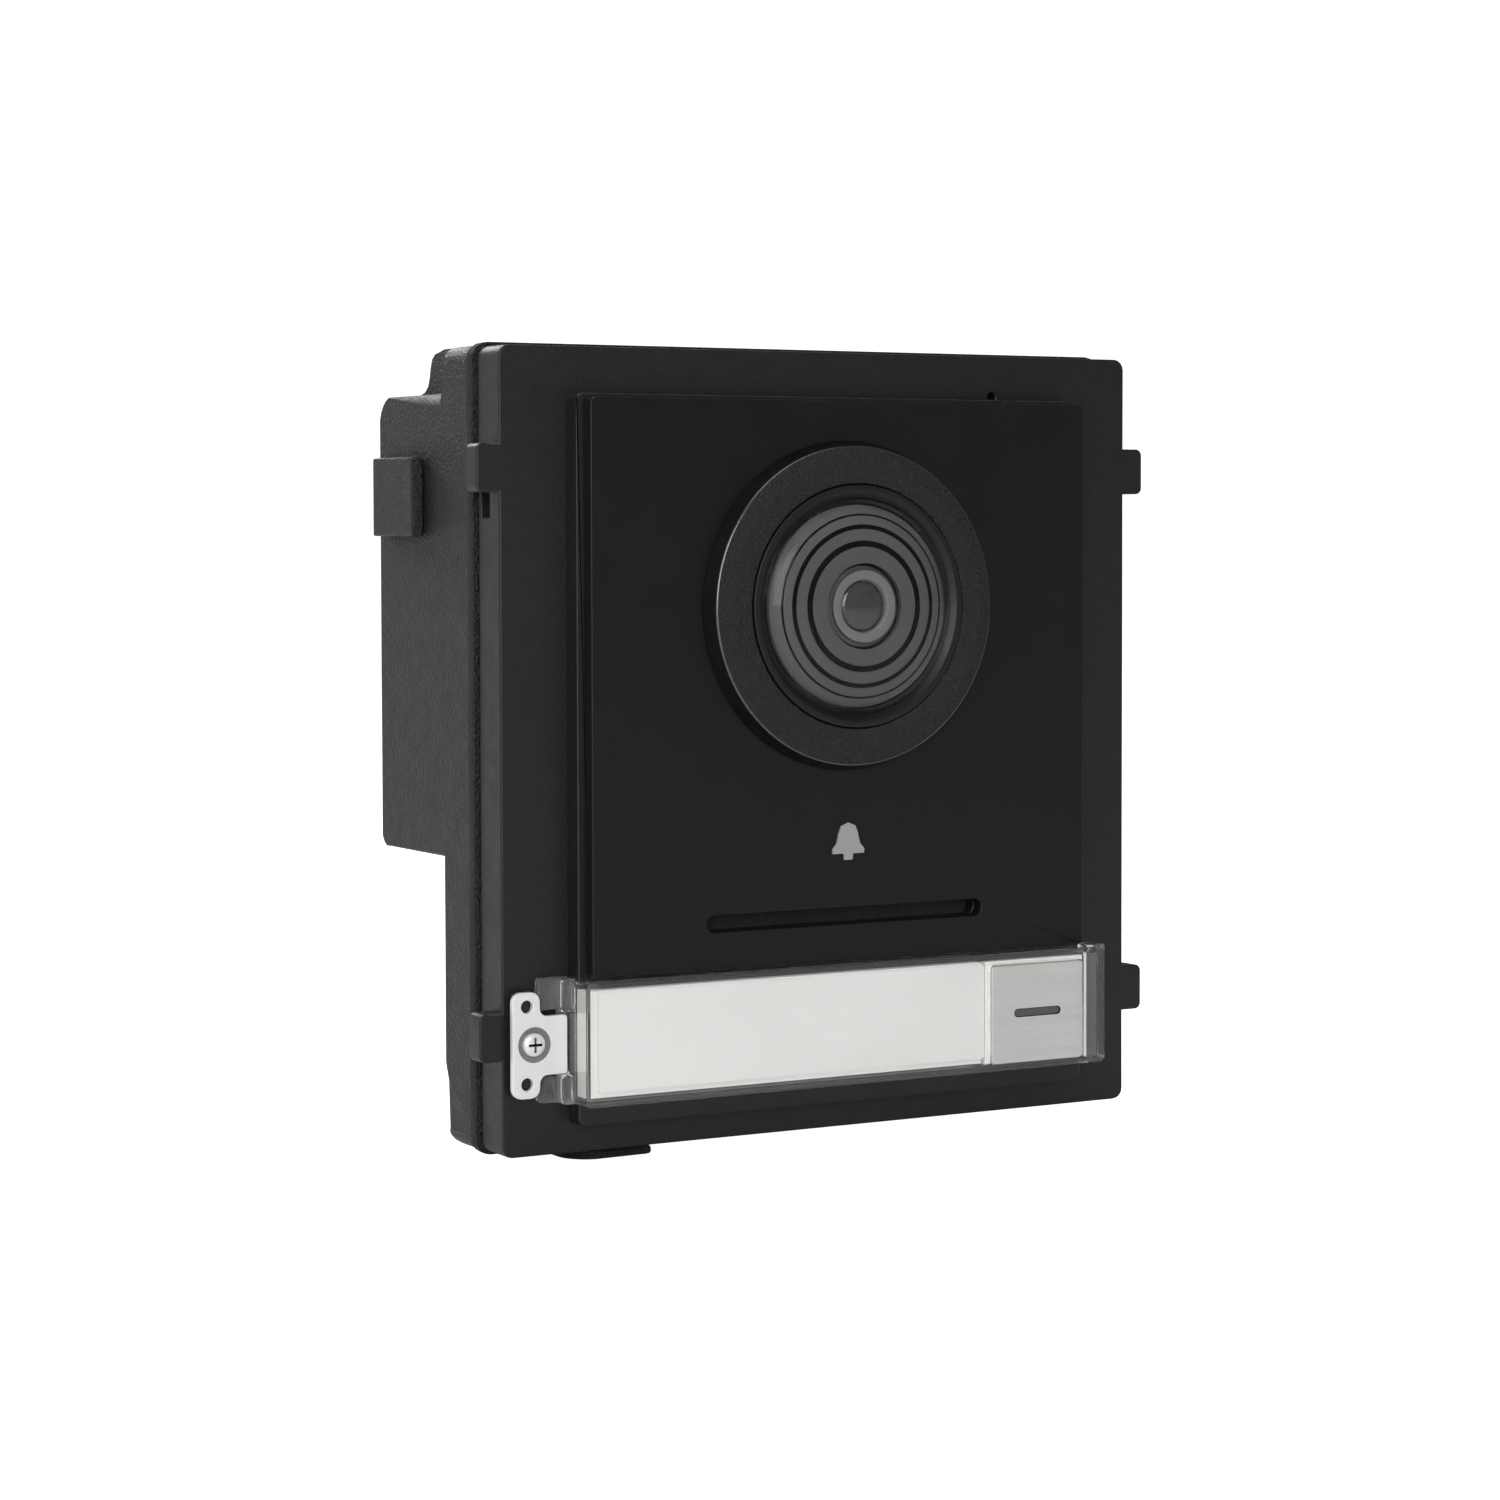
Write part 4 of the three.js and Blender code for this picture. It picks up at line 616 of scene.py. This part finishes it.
coverClear = clearPlastic("coverClear", {
    "colour": (0.95, 0.945, 0.938), "shade": grey(0.93), "smooth": 0.02, "rough": 0.06, "ior": 1.42,
    "bump": 0.01, "clear": 0.972})
windowClear = clearPlastic("windowClear", {
    "colour": (0.86, 0.86, 0.87), "shade": (0.8, 0.8, 0.81), "smooth": 0.0, "rough": 0.008, "ior": 1.18,
    "bump": 0.002, "specular": 0.35})
print("finishes ready")


# finishes for the nodes that stay as they are

nodeFinish = {
    "frame_seal": sealRubber, "lens_holder": satinBlack, "sensor_board": boardGreen,
    "image_sensor": chipBlack, "light_guide": milkyWhite, "key_board": boardGreen,
    "call_button_carrier": milkyWhite, "call_switch_stem": socketBlack, "call_switch": chipBlack,
    "speaker_gasket": sealRubber, "speaker_membrane": sealRubber, "speaker_driver": socketBlack,
    "microphone_boot": sealRubber, "microphone_capsule": zincSteel, "main_board": boardGreen,
    "connector_board": boardGreen, "stacking_connector": socketBlack, "tamper_switch": chipBlack,
}
for node in nodes:
    if node.startswith("label_led"):
        nodeFinish[node] = milkyWhite
    if "screw" in node:
        nodeFinish[node] = zincSteel
for node, material in nodeFinish.items():
    nodes[node].data.materials.clear()
    nodes[node].data.materials.append(material)


# front frame, rear housing and side latches

frontLow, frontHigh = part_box("front_frame")
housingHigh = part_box("rear_housing")[1]

mouldingShape = {
    "sharp": 50,               # degrees between two faces that count as an edge
    "shortest": 0.05 * mm,
    "latchRound": 0.3 * mm,
}
frameShape = {
    "round": 0.24 * mm,
    "squareBack": 0.3 * mm,    # the back edge stays square where it meets the seal
}
housingShape = {
    "round": 0.35 * mm,
    "longEdge": 4 * mm,        # shorter edges stay square
    "blockTop": (40 * mm, 46 * mm),     # heights that the deep block's top lies between
    "straight": 0.95,          # share of a shoulder edge that runs back to front
    "shoulder": 1.9 * mm,      # along the top of the deep block, at each side
    "shoulderReach": 0.45 * mm,
    "lip": 1.65 * mm,          # how far the rubber lip reaches back from the seal
    "lipStart": 0.1 * mm,
    "hookLevel": -50 * mm,     # below it only what lies outside the hook belongs to the lip
    "hookHalf": 35 * mm,
}


def isOuterEdge(middle, run, angle):
    return angle > math.radians(mouldingShape["sharp"]) and run.length > mouldingShape["shortest"]


def isShoulder(middle, run, angle):
    s = housingShape
    low, high = s["blockTop"]
    along = abs(run.y) > s["straight"] * run.length and run.length > s["longEdge"]
    return along and abs(middle.x) > housingHigh.x - s["shoulderReach"] and low < middle.z < high


def makeFrontFrame():
    piece = copyNode("front_frame", "frontFrame")
    back = frontHigh.y - frameShape["squareBack"]
    roundEdges(piece, lambda middle, run, angle: isOuterEdge(middle, run, angle) and middle.y < back,
               frameShape["round"])
    return finishPiece(piece, satinBlack, panelBody, "front_frame")


def makeRearHousing():
    s = housingShape
    piece = copyNode("rear_housing", "rearHousing")
    roundEdges(piece, isShoulder, s["shoulder"], 5)
    roundEdges(piece, lambda middle, run, angle: isOuterEdge(middle, run, angle)
               and run.length > s["longEdge"] and middle.z < s["blockTop"][0], s["round"])
    finishPiece(piece, grainedBlack, panelBody, "rear_housing")
    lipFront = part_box("frame_seal")[1].y
    lipBack = lipFront + s["lip"]
    paintFaces(piece, sealRubber, lambda middle, normal: lipFront - s["lipStart"] < middle.y < lipBack
               and abs(normal.y) < 0.5 and (middle.z > s["hookLevel"] or abs(middle.x) > s["hookHalf"]))
    return piece


def makeSideLatch(side):
    piece = copyNode("side_latch_" + side, "sideLatch" + side.capitalize())
    roundEdges(piece, isOuterEdge, mouldingShape["latchRound"])
    return finishPiece(piece, grainedBlack, panelBody, "side_latch_" + side)


makeFrontFrame()
makeRearHousing()
for side in ("left", "right"):
    makeSideLatch(side)
print("frame and housing done")


# front panel and emblem

panelRound = 0.18 * mm


def makeFrontPanel():
    piece = copyNode("front_panel", "frontPanel")
    roundEdges(piece, isOuterEdge, panelRound)
    return finishPiece(piece, panelBlack, panelBody, "front_panel")


def makeEmblem():
    piece = copyNode("bell_emblem", "bellEmblem")
    return finishPiece(piece, silverFilm, panelBody, "bell_emblem")


makeFrontPanel()
makeEmblem()
print("panel done")


# camera, turned round its own axis

bezelLow, bezelHigh, bezelMiddle = limits("camera_bezel")
trimLow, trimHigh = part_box("camera_trim_ring")
windowLow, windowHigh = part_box("camera_window")
barrelLow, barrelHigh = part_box("lens_barrel")
lensLow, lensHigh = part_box("lens_front_element")
cameraX, cameraZ = bezelMiddle.x, bezelMiddle.z
bezelRadius = bezelHigh.x - cameraX
trimRadius = trimHigh.x - cameraX
windowRadius = windowHigh.x - cameraX
ringSteps = 160
lensSteps = 96

bezelShape = {
    "rimInset": 0.75 * mm,     # how much the side leans in
    "rimDrop": 0.7 * mm,       # from the inner edge of the face back to its rim
    "crown": 0.22 * mm,        # the same, half way across the face
    "baseDepth": 3.0 * mm,     # from the face back to the panel
    "sleeve": 17.6 * mm,
    "throat": 14.0 * mm,
    "trimSeat": 2.0 * mm,
    "gap": 0.15 * mm,
    "chamfer": 0.12 * mm,
    "round": 0.16 * mm,
    "wallMargin": 0.05 * mm,
    "rimBand": 0.13 * mm,      # half the width of the band on the rim that gets a painted highlight
}
trimShape = {
    "face": 0.8 * mm,          # flat width at the front
    "slip": 0.15 * mm,         # round the window
    "lead": 0.05 * mm,
    "seatDepth": 0.6 * mm,
    "shelf": 1.9 * mm,
    "round": 0.12 * mm,
}
windowShape = {"rimDepth": 2.4 * mm, "thickness": 0.5 * mm, "rim": 0.6 * mm, "steps": 28}
baffleShape = {
    "gap": 0.16 * mm,          # behind the window
    "slip": 0.08 * mm,         # round the outside
    "bore": 5.4 * mm,
    "boreDepth": 0.8 * mm,
    "ledge": 1.3 * mm,
    "ledgeThickness": 0.4 * mm,
    "grooves": ((11.45 * mm, 0.26 * mm), (9.95 * mm, 0.58 * mm), (7.85 * mm, 0.78 * mm)),  # radius, width
    "grooveDepth": 0.4 * mm,
    "dark": (0.04 * mm, 0.6 * mm),      # depths between which the groove faces get painted shade
}
barrelShape = {
    "step": 0.55 * mm,
    "stepDepth": 0.5 * mm,
    "mouth": 0.3 * mm,         # wider than the glass by this
    "slip": 0.1 * mm,
    "mouthDepth": 0.4 * mm,
    "bore": 2.4 * mm,
    "round": 0.1 * mm,
}
lensShape = {"rim": 0.8 * mm, "steps": 12}


def domeRise(share):
    return max(0.0, 1 - share ** 3) ** (1 / 3)


def fromAxis(point):
    return math.hypot(point.x - cameraX, point.z - cameraZ)


def makeBezel():
    s = bezelShape
    face, back = bezelLow.y, bezelHigh.y
    base = face + s["baseDepth"]
    rim = face + s["rimDrop"]
    rimRadius = bezelRadius - s["rimInset"]
    inner = trimRadius + s["gap"]
    side = roundProfile([
        (s["sleeve"], base), (bezelRadius - s["chamfer"], base), (bezelRadius, base - s["chamfer"]),
        (rimRadius, rim), ((bezelRadius + trimRadius) / 2, face + s["crown"]),
        (inner + s["chamfer"], face), (inner, face + s["chamfer"]),
        (inner, face + s["trimSeat"]), (s["throat"], face + s["trimSeat"]),
        (s["throat"], back), (s["sleeve"], back)], s["round"])
    piece = turnProfile("cameraBezel", cameraX, cameraZ, side + [side[0]], ringSteps)
    finishPiece(piece, bezelBlack, panelBody, "camera_bezel")
    # the side wall gets a smoother finish and a darker colour as painted shade
    paintFaces(piece, wallGlossAndShade, lambda middle, normal: middle.y > rim
               and fromAxis(middle) > rimRadius - s["wallMargin"])
    # the thin band round the rim gets a painted highlight
    paintFaces(piece, paintedRimHighlight, lambda middle, normal: abs(middle.y - rim) < s["rimBand"]
               and fromAxis(middle) > rimRadius - s["rimBand"])
    return piece


def makeTrimRing():
    s = trimShape
    low, high = trimLow.y, trimHigh.y
    edge = windowLow.y + windowShape["rimDepth"]
    bore = windowRadius + s["slip"]
    seat = edge + s["seatDepth"]
    side = roundProfile([
        (trimRadius, high), (trimRadius, low), (trimRadius - s["face"], low),
        (bore + s["lead"], edge - 2 * s["lead"]), (bore, edge), (bore, seat),
        (bore - s["shelf"], seat), (bore - s["shelf"], high)], s["round"])
    piece = turnProfile("cameraTrimRing", cameraX, cameraZ, side + [side[0]], ringSteps)
    return finishPiece(piece, trimBlack, panelBody, "camera_trim_ring")


def makeWindow():
    s = windowShape
    edge = windowLow.y + s["rimDepth"]
    back = windowHigh.y
    innerRadius = windowRadius - s["rim"]
    innerRise = back - windowLow.y - s["thickness"]
    shares = [math.sin(math.pi / 2 * k / s["steps"]) for k in range(s["steps"] + 1)]
    inside = [(innerRadius * t, back - innerRise * domeRise(t)) for t in shares]
    outside = [(windowRadius * t, edge - s["rimDepth"] * domeRise(t)) for t in reversed(shares)]
    profile = inside + [(windowRadius, back)] + outside
    piece = turnProfile("cameraWindow", cameraX, cameraZ, profile, ringSteps)
    return finishPiece(piece, windowClear, panelBody, "camera_window", 60)


def baffleDepth(radius):
    # follows the inside of the window
    s = windowShape
    innerRise = windowHigh.y - windowLow.y - s["thickness"]
    share = radius / (windowRadius - s["rim"])
    return windowHigh.y - innerRise * domeRise(share) + baffleShape["gap"]


def inGroove(middle, normal):
    radius = fromAxis(middle)
    low, high = baffleShape["dark"]
    near = any(abs(radius - place) < width / 2 + 0.01 * mm for place, width in baffleShape["grooves"])
    return near and low < middle.y - baffleDepth(radius) < high


def makeBaffle():
    s = baffleShape
    outer = windowRadius - windowShape["rim"] - s["slip"]
    back = windowHigh.y
    profile = [(outer, back), (outer, baffleDepth(outer))]
    previous = outer
    for radius, width in s["grooves"]:
        start, end = radius + width / 2, radius - width / 2
        for k in (1, 2):
            middle = previous + (start - previous) * k / 3
            profile.append((middle, baffleDepth(middle)))
        floor = baffleDepth(end) + s["grooveDepth"]
        profile += [(start, baffleDepth(start)), (start, floor), (end, floor), (end, baffleDepth(end))]
        previous = end
    for k in (1, 2, 3):
        middle = previous + (s["bore"] - previous) * k / 3
        profile.append((middle, baffleDepth(middle)))
    profile += [(s["bore"], baffleDepth(s["bore"]) + s["boreDepth"]),
                (outer - s["ledge"], back - s["ledgeThickness"]), (outer - s["ledge"], back)]
    piece = turnProfile("cameraBaffle", cameraX, cameraZ, profile + [profile[0]], ringSteps)
    finishPiece(piece, baffleGrey, panelBody, "camera_baffle")
    # the groove faces get painted shade
    paintFaces(piece, paintedGrooveShade, inGroove)
    return piece


def makeLensBarrel():
    s = barrelShape
    outer = barrelHigh.x - cameraX
    glass = lensHigh.x - cameraX
    mouth, back = barrelLow.y, barrelHigh.y
    step = outer - s["step"]
    seat = lensHigh.y + s["slip"]
    side = roundProfile([
        (outer, back), (outer, mouth + s["stepDepth"]), (step, mouth + s["stepDepth"]),
        (step, mouth), (glass + s["mouth"], mouth), (glass + s["slip"], mouth + s["mouthDepth"]),
        (glass + s["slip"], seat), (s["bore"], seat), (s["bore"], back)], s["round"])
    piece = turnProfile("lensBarrel", cameraX, cameraZ, side + [side[0]], lensSteps)
    finishPiece(piece, barrelGrey, panelBody, "lens_barrel")
    paintFaces(piece, rimGrey, lambda middle, normal: fromAxis(middle) > step - 0.02 * mm)
    return piece


def makeLensElement():
    s = lensShape
    glass = lensHigh.x - cameraX
    shoulder = lensHigh.y - s["rim"]
    profile = []
    for k in range(s["steps"] + 1):
        turn = math.pi / 2 * k / s["steps"]
        profile.append((glass * math.sin(turn), shoulder - (shoulder - lensLow.y) * math.cos(turn)))
    profile += [(glass, lensHigh.y), (0, lensHigh.y)]
    piece = turnProfile("lensElement", cameraX, cameraZ, profile, lensSteps)
    return finishPiece(piece, lensGlass, panelBody, "lens_front_element")


makeBezel()
makeTrimRing()
makeWindow()
makeBaffle()
makeLensBarrel()
makeLensElement()
print("camera done")


# name plate: cover, label and call button

labelLow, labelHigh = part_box("name_label")
capLow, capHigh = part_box("call_button_cap")
dashLow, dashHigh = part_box("call_dash_inlay")

straightShare = 0.9            # share of an edge that has to run along an axis
fullRound = 0.499              # share of a strip's height that makes its ends round
nearFace = 0.1 * mm            # what lies this close to a face counts as on it

coverShape = {"round": 0.14 * mm, "shortest": 1.2 * mm}
labelShape = {"leftTrim": 0.9 * mm, "corner": 0.5 * mm}
buttonShape = {
    "corner": 0.4 * mm,
    "frontRound": 0.16 * mm,
    "slotGap": 0.13 * mm,      # round the dash
    "through": 2 * mm,         # how far the slot's cutter passes the dash at each end
}


def runsBack(middle, run, angle):
    return abs(run.y) > straightShare * run.length


def runsAcross(middle, run, angle):
    return abs(run.x) > straightShare * run.length


def makeNameCover():
    piece = copyNode("name_cover", "nameCover")
    roundEdges(piece, lambda middle, run, angle: isOuterEdge(middle, run, angle)
               and run.length > coverShape["shortest"], coverShape["round"])
    return finishPiece(piece, coverClear, panelBody, "name_cover")


def makeNameLabel():
    piece = addBlock("nameLabel", labelLow + Vector((labelShape["leftTrim"], 0, 0)), labelHigh)
    roundEdges(piece, runsBack, labelShape["corner"], 4)
    return finishPiece(piece, labelWhite, panelBody, "name_label")


def makeButtonCap():
    s = buttonShape
    piece = addBlock("callButtonCap", capLow, capHigh)
    roundEdges(piece, runsBack, s["corner"], 5)
    roundEdges(piece, lambda middle, run, angle: middle.y < capLow.y + 0.01 * mm, s["frontRound"], 3)
    grow = Vector((s["slotGap"], s["through"], s["slotGap"]))
    low, high = dashLow - grow, dashHigh + grow
    slot = addBlock("slotCutter", low, high)
    roundEdges(slot, runsBack, (high.z - low.z) * fullRound, 8)
    cutWith(piece, slot)
    finishPiece(piece, brushedSteel, buttonBody, "call_button_cap")
    # the slot's walls round the dash get painted shade
    paintFaces(piece, paintedGrooveShade, lambda middle, normal: low.x - 0.01 * mm < middle.x < high.x + 0.01 * mm
               and low.z - 0.01 * mm < middle.z < high.z + 0.01 * mm and abs(normal.y) < 0.5)
    return piece


def makeDashInlay():
    piece = addBlock("callDashInlay", dashLow, dashHigh)
    roundEdges(piece, runsBack, (dashHigh.z - dashLow.z) * fullRound, 8)
    return finishPiece(piece, dashGrey, buttonBody, "call_dash_inlay")


makeNameCover()
makeNameLabel()
makeButtonCap()
makeDashInlay()
print("name plate done")


# bracket and its screw

bracketShape = {
    "round": 0.1 * mm,
    "sharp": 60,               # degrees
    "dimple": 2.0 * mm,        # radius of the pressed ring round the screw, whose faces get painted shade
}
screwShape = {
    "crown": ((0.55, 0.02 * mm), (0.82, 0.09 * mm), (0.96, 0.25 * mm), (1, 0.45 * mm)),  # share, depth
    "head": 0.75 * mm,
    "shank": 0.95 * mm,
    "tip": 0.3 * mm,
    "tipLength": 0.6 * mm,
    "crossReach": 0.62,        # shares of the head's radius
    "crossHalf": 0.12,
    "crossDepth": 0.42 * mm,
    "dark": (0.14 * mm, 0.5 * mm),      # depths between which the cross gets painted shade
}


def makeBracket():
    s = bracketShape
    piece = copyNode("retaining_bracket", "retainingBracket")
    roundEdges(piece, lambda middle, run, angle: angle > math.radians(s["sharp"]), s["round"])
    finishPiece(piece, zincSteel, panelBody, "retaining_bracket")
    screw = limits("bracket_screw")[2]
    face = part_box("retaining_bracket")[0].y
    # the pressed ring round the screw gets painted shade
    paintFaces(piece, paintedDimpleShade, lambda middle, normal: middle.y > face + nearFace
               and math.hypot(middle.x - screw.x, middle.z - screw.z) < s["dimple"])
    return piece


def makeBracketScrew():
    s = screwShape
    low, high, middle = limits("bracket_screw")
    radius = high.x - middle.x
    seat = low.y + s["head"]
    profile = [(0, low.y)] + [(radius * share, low.y + depth) for share, depth in s["crown"]]
    profile += [(radius, seat), (s["shank"], seat), (s["shank"], high.y - s["tipLength"]),
                (s["tip"], high.y), (0, high.y)]
    piece = turnProfile("bracketScrew", middle.x, middle.z, profile, 64)
    reach, half = radius * s["crossReach"], radius * s["crossHalf"]
    for wide, tall in ((reach, half), (half, reach)):
        cutter = addBlock("crossCutter", (middle.x - wide, low.y - mm, middle.z - tall),
                          (middle.x + wide, low.y + s["crossDepth"], middle.z + tall))
        cutWith(piece, cutter)
    finishPiece(piece, brightSteel, panelBody, "bracket_screw")
    near, far = (low.y + depth for depth in s["dark"])
    # the inside of the cross gets painted shade
    paintFaces(piece, paintedGrooveShade, lambda spot, normal: near < spot.y < far
               and max(abs(spot.x - middle.x), abs(spot.z - middle.z)) < reach + 0.01 * mm)
    return piece


makeBracket()
makeBracketScrew()
print("bracket done")


# sockets at the back

terminalPoles = 12
leverShape = {
    "half": 0.8 * mm, "inner": 1.5 * mm, "outer": 0.5 * mm, "bottom": 1.7 * mm, "top": 3.1 * mm,
    "round": 0.2 * mm,
}
springShape = {
    "half": 1.1 * mm, "inner": 6.6 * mm, "outer": 2.4 * mm, "bottom": -1.2 * mm, "top": -0.9 * mm,
    "round": 0.08 * mm,
}
jackContacts = {
    "count": 8, "pitch": 1.02 * mm, "round": 0.08 * mm,
    "half": 0.18 * mm, "inner": 9.6 * mm, "outer": 2.0 * mm, "bottom": 3.9 * mm, "top": 4.25 * mm,
}
linkPins = {
    "count": 4, "pitch": 2.0 * mm, "round": 0.1 * mm,
    "half": 0.25 * mm, "inner": 4.5 * mm, "outer": 1.2 * mm, "bottom": -0.25 * mm, "top": 0.25 * mm,
}
plungerShape = {
    "edge": 0.1 * mm,
    "flange": 1 * mm,
    "radius": 1.8 * mm,
    "tip": ((1.8 * mm, 0.4 * mm), (1.65 * mm, 0.15 * mm), (1.3 * mm, 0)),   # radius, distance from the end
}


def addInset(name, x, high, middle, s):
    # a small block: depths are taken from the socket's back face, heights from its middle
    return addBlock(name, (x - s["half"], high.y - s["inner"], middle.z + s["bottom"]),
                    (x + s["half"], high.y - s["outer"], middle.z + s["top"]))


def inRow(middle, s):
    first = middle.x - (s["count"] - 1) / 2 * s["pitch"]
    return [first + k * s["pitch"] for k in range(s["count"])]


def makeTerminals():
    low, high, middle = limits("terminal_block")
    piece = copyNode("terminal_block", "terminalBlock")
    finishPiece(piece, terminalGreen, panelBody, "terminal_block")
    pitch = (high.x - low.x) / terminalPoles
    leverBack = high.y - leverShape["outer"] - nearFace
    for pole in range(terminalPoles):
        x = low.x + (pole + 0.5) * pitch
        lever = addInset("terminalLever%02d" % (pole + 1), x, high, middle, leverShape)
        roundEdges(lever, lambda spot, run, angle: spot.y > leverBack, leverShape["round"], 2)
        finishPiece(lever, milkyWhite, panelBody)
        spring = addInset("terminalSpring%02d" % (pole + 1), x, high, middle, springShape)
        roundEdges(spring, runsAcross, springShape["round"], 2)
        finishPiece(spring, brightSteel, panelBody)


def makeNetworkJack():
    low, high, middle = limits("network_jack")
    piece = copyNode("network_jack", "networkJack")
    finishPiece(piece, socketBlack, panelBody, "network_jack")
    for wire, x in enumerate(inRow(middle, jackContacts)):
        pin = addInset("networkContact%d" % (wire + 1), x, high, middle, jackContacts)
        roundEdges(pin, runsBack, jackContacts["round"], 2)
        finishPiece(pin, contactGold, panelBody)


def makeLinkSocket(side):
    node = "link_socket_" + side
    low, high, middle = limits(node)
    piece = copyNode(node, "linkSocket" + side.capitalize())
    finishPiece(piece, milkyWhite, panelBody, node)
    pinBack = high.y - linkPins["outer"] - nearFace
    for column, x in enumerate(inRow(middle, linkPins)):
        pin = addInset("link%sPin%d" % (side.capitalize(), column + 1), x, high, middle, linkPins)
        roundEdges(pin, lambda spot, run, angle: spot.y > pinBack, linkPins["round"], 2)
        finishPiece(pin, contactGold, panelBody)


def makeTamperPlunger():
    s = plungerShape
    low, high, middle = limits("tamper_plunger")
    flange = high.x - middle.x
    seat = low.y + s["flange"]
    profile = [(0, low.y), (flange - s["edge"], low.y), (flange, low.y + s["edge"]), (flange, seat),
               (s["radius"], seat)]
    profile += [(radius, high.y - back) for radius, back in s["tip"]] + [(0, high.y)]
    piece = turnProfile("tamperPlunger", middle.x, middle.z, profile, 48)
    return finishPiece(piece, milkyWhite, plungerBody, "tamper_plunger")


def makeRatingPlate():
    piece = copyNode("rating_plate", "ratingPlate")
    return finishPiece(piece, silverFilm, panelBody, "rating_plate")


makeTerminals()
makeNetworkJack()
for side in ("left", "right"):
    makeLinkSocket(side)
makeTamperPlunger()
makeRatingPlate()
print("sockets done")


# floor, lights and camera

studio = {
    "floorSize": 12,           # metres
    "floorDrop": 0.2 * mm,     # below the lowest point of the panel
    "cameraWhite": 1.0,        # how bright the floor and the world are to the camera alone
    "ambient": 0.2,
    "target": Vector((0, -20 * mm, 0)),
}


def addFloor():
    deselectAll()
    level = cadBounds[0][2] - studio["floorDrop"]
    bpy.ops.mesh.primitive_plane_add(size=studio["floorSize"], location=(0, 0, level))
    floor = bpy.context.object
    floor.name = "studioFloor"
    material, tree, shader, spot = startFinish("floorPaper")
    tone = placeGroup(tree, unevenTone, spot, Scale=3.0)
    paper = mixColour(tree, tone["Cloud"], grey(0.86), grey(0.88))
    tree.links.new(paper, shader.inputs["Base Color"])
    shader.inputs["Roughness"].default_value = 0.9
    shader.inputs["Emission Color"].default_value = (1, 1, 1, 1)
    light = tree.nodes.new("ShaderNodeLightPath")
    glow = addMath(tree, "MULTIPLY", light.outputs["Is Camera Ray"], studio["cameraWhite"])
    tree.links.new(glow, shader.inputs["Emission Strength"])
    floor.data.materials.append(material)


def addWorld():
    world = bpy.data.worlds.new("studioWorld")
    bpy.context.scene.world = world
    world.use_nodes = True
    tree = world.node_tree
    background = tree.nodes["Background"]
    background.inputs["Color"].default_value = (1, 1, 1, 1)
    light = tree.nodes.new("ShaderNodeLightPath")
    scaled = addMath(tree, "MULTIPLY", light.outputs["Is Camera Ray"], studio["cameraWhite"])
    tree.links.new(addMath(tree, "ADD", scaled, studio["ambient"]), background.inputs["Strength"])


lamps = {
    "keyLeft": {"place": (-0.8, -0.4, 0.3), "size": (0.12, 0.8), "power": 0.9},
    "rimBehind": {"place": (-0.6, 0.75, 0.2), "size": (0.5, 0.9), "power": 1.1},
    "frontFill": {"place": (-0.5, -1.0, 0.3), "size": (0.9, 0.6), "power": 7.5},
    "backTop": {"place": (-0.05, 0.95, 0.6), "size": (0.6, 0.4), "power": 4.0},
    "topStrip": {"place": (-0.1, 0.1, 0.8), "size": (0.9, 0.4), "power": 3.5},
}


def addLamps():
    for name, lamp in lamps.items():
        data = bpy.data.lights.new(name, "AREA")
        data.shape = "RECTANGLE"
        data.size, data.size_y = lamp["size"]
        data.energy = lamp["power"]
        light = bpy.data.objects.new(name, data)
        light.location = lamp["place"]
        light.rotation_euler = (studio["target"] - Vector(lamp["place"])).to_track_quat("-Z", "Y").to_euler()
        bpy.context.scene.collection.objects.link(light)


cameraSet = {
    "yaw": 29.411, "pitch": 2.379, "roll": -0.152,      # degrees
    "lens": 84.8544, "sensor": 36,                      # millimetres
    "distance": 0.44496, "aim": (-0.011306, 0.008749),  # metres, the aim on the frame's face
    "plinth": 2.9 * mm,                                 # how far the plinth stands out from that face
    "shiftY": -0.05,                                    # share of the picture's width
}


def addCamera():
    s = cameraSet
    yaw, pitch, roll = (math.radians(s[k]) for k in ("yaw", "pitch", "roll"))
    flat = math.cos(pitch)
    forward = Vector((math.sin(yaw) * flat, math.cos(yaw) * flat, -math.sin(pitch)))
    aim = Vector((s["aim"][0], frontLow.y + s["plinth"], s["aim"][1]))
    data = bpy.data.cameras.new("studioCamera")
    data.sensor_width = s["sensor"]
    data.lens = s["lens"]
    data.shift_y = s["shiftY"]
    camera = bpy.data.objects.new("studioCamera", data)
    camera.location = aim - forward * s["distance"]
    turn = forward.to_track_quat("-Z", "Y").to_matrix()
    spin = Matrix.Rotation(roll, 3, -forward)
    camera.rotation_euler = (spin @ turn).to_euler()
    bpy.context.scene.collection.objects.link(camera)
    bpy.context.scene.camera = camera
    bpy.context.scene.view_settings.view_transform = "Standard"


addFloor()
addWorld()
addLamps()
addCamera()
print("studio ready")
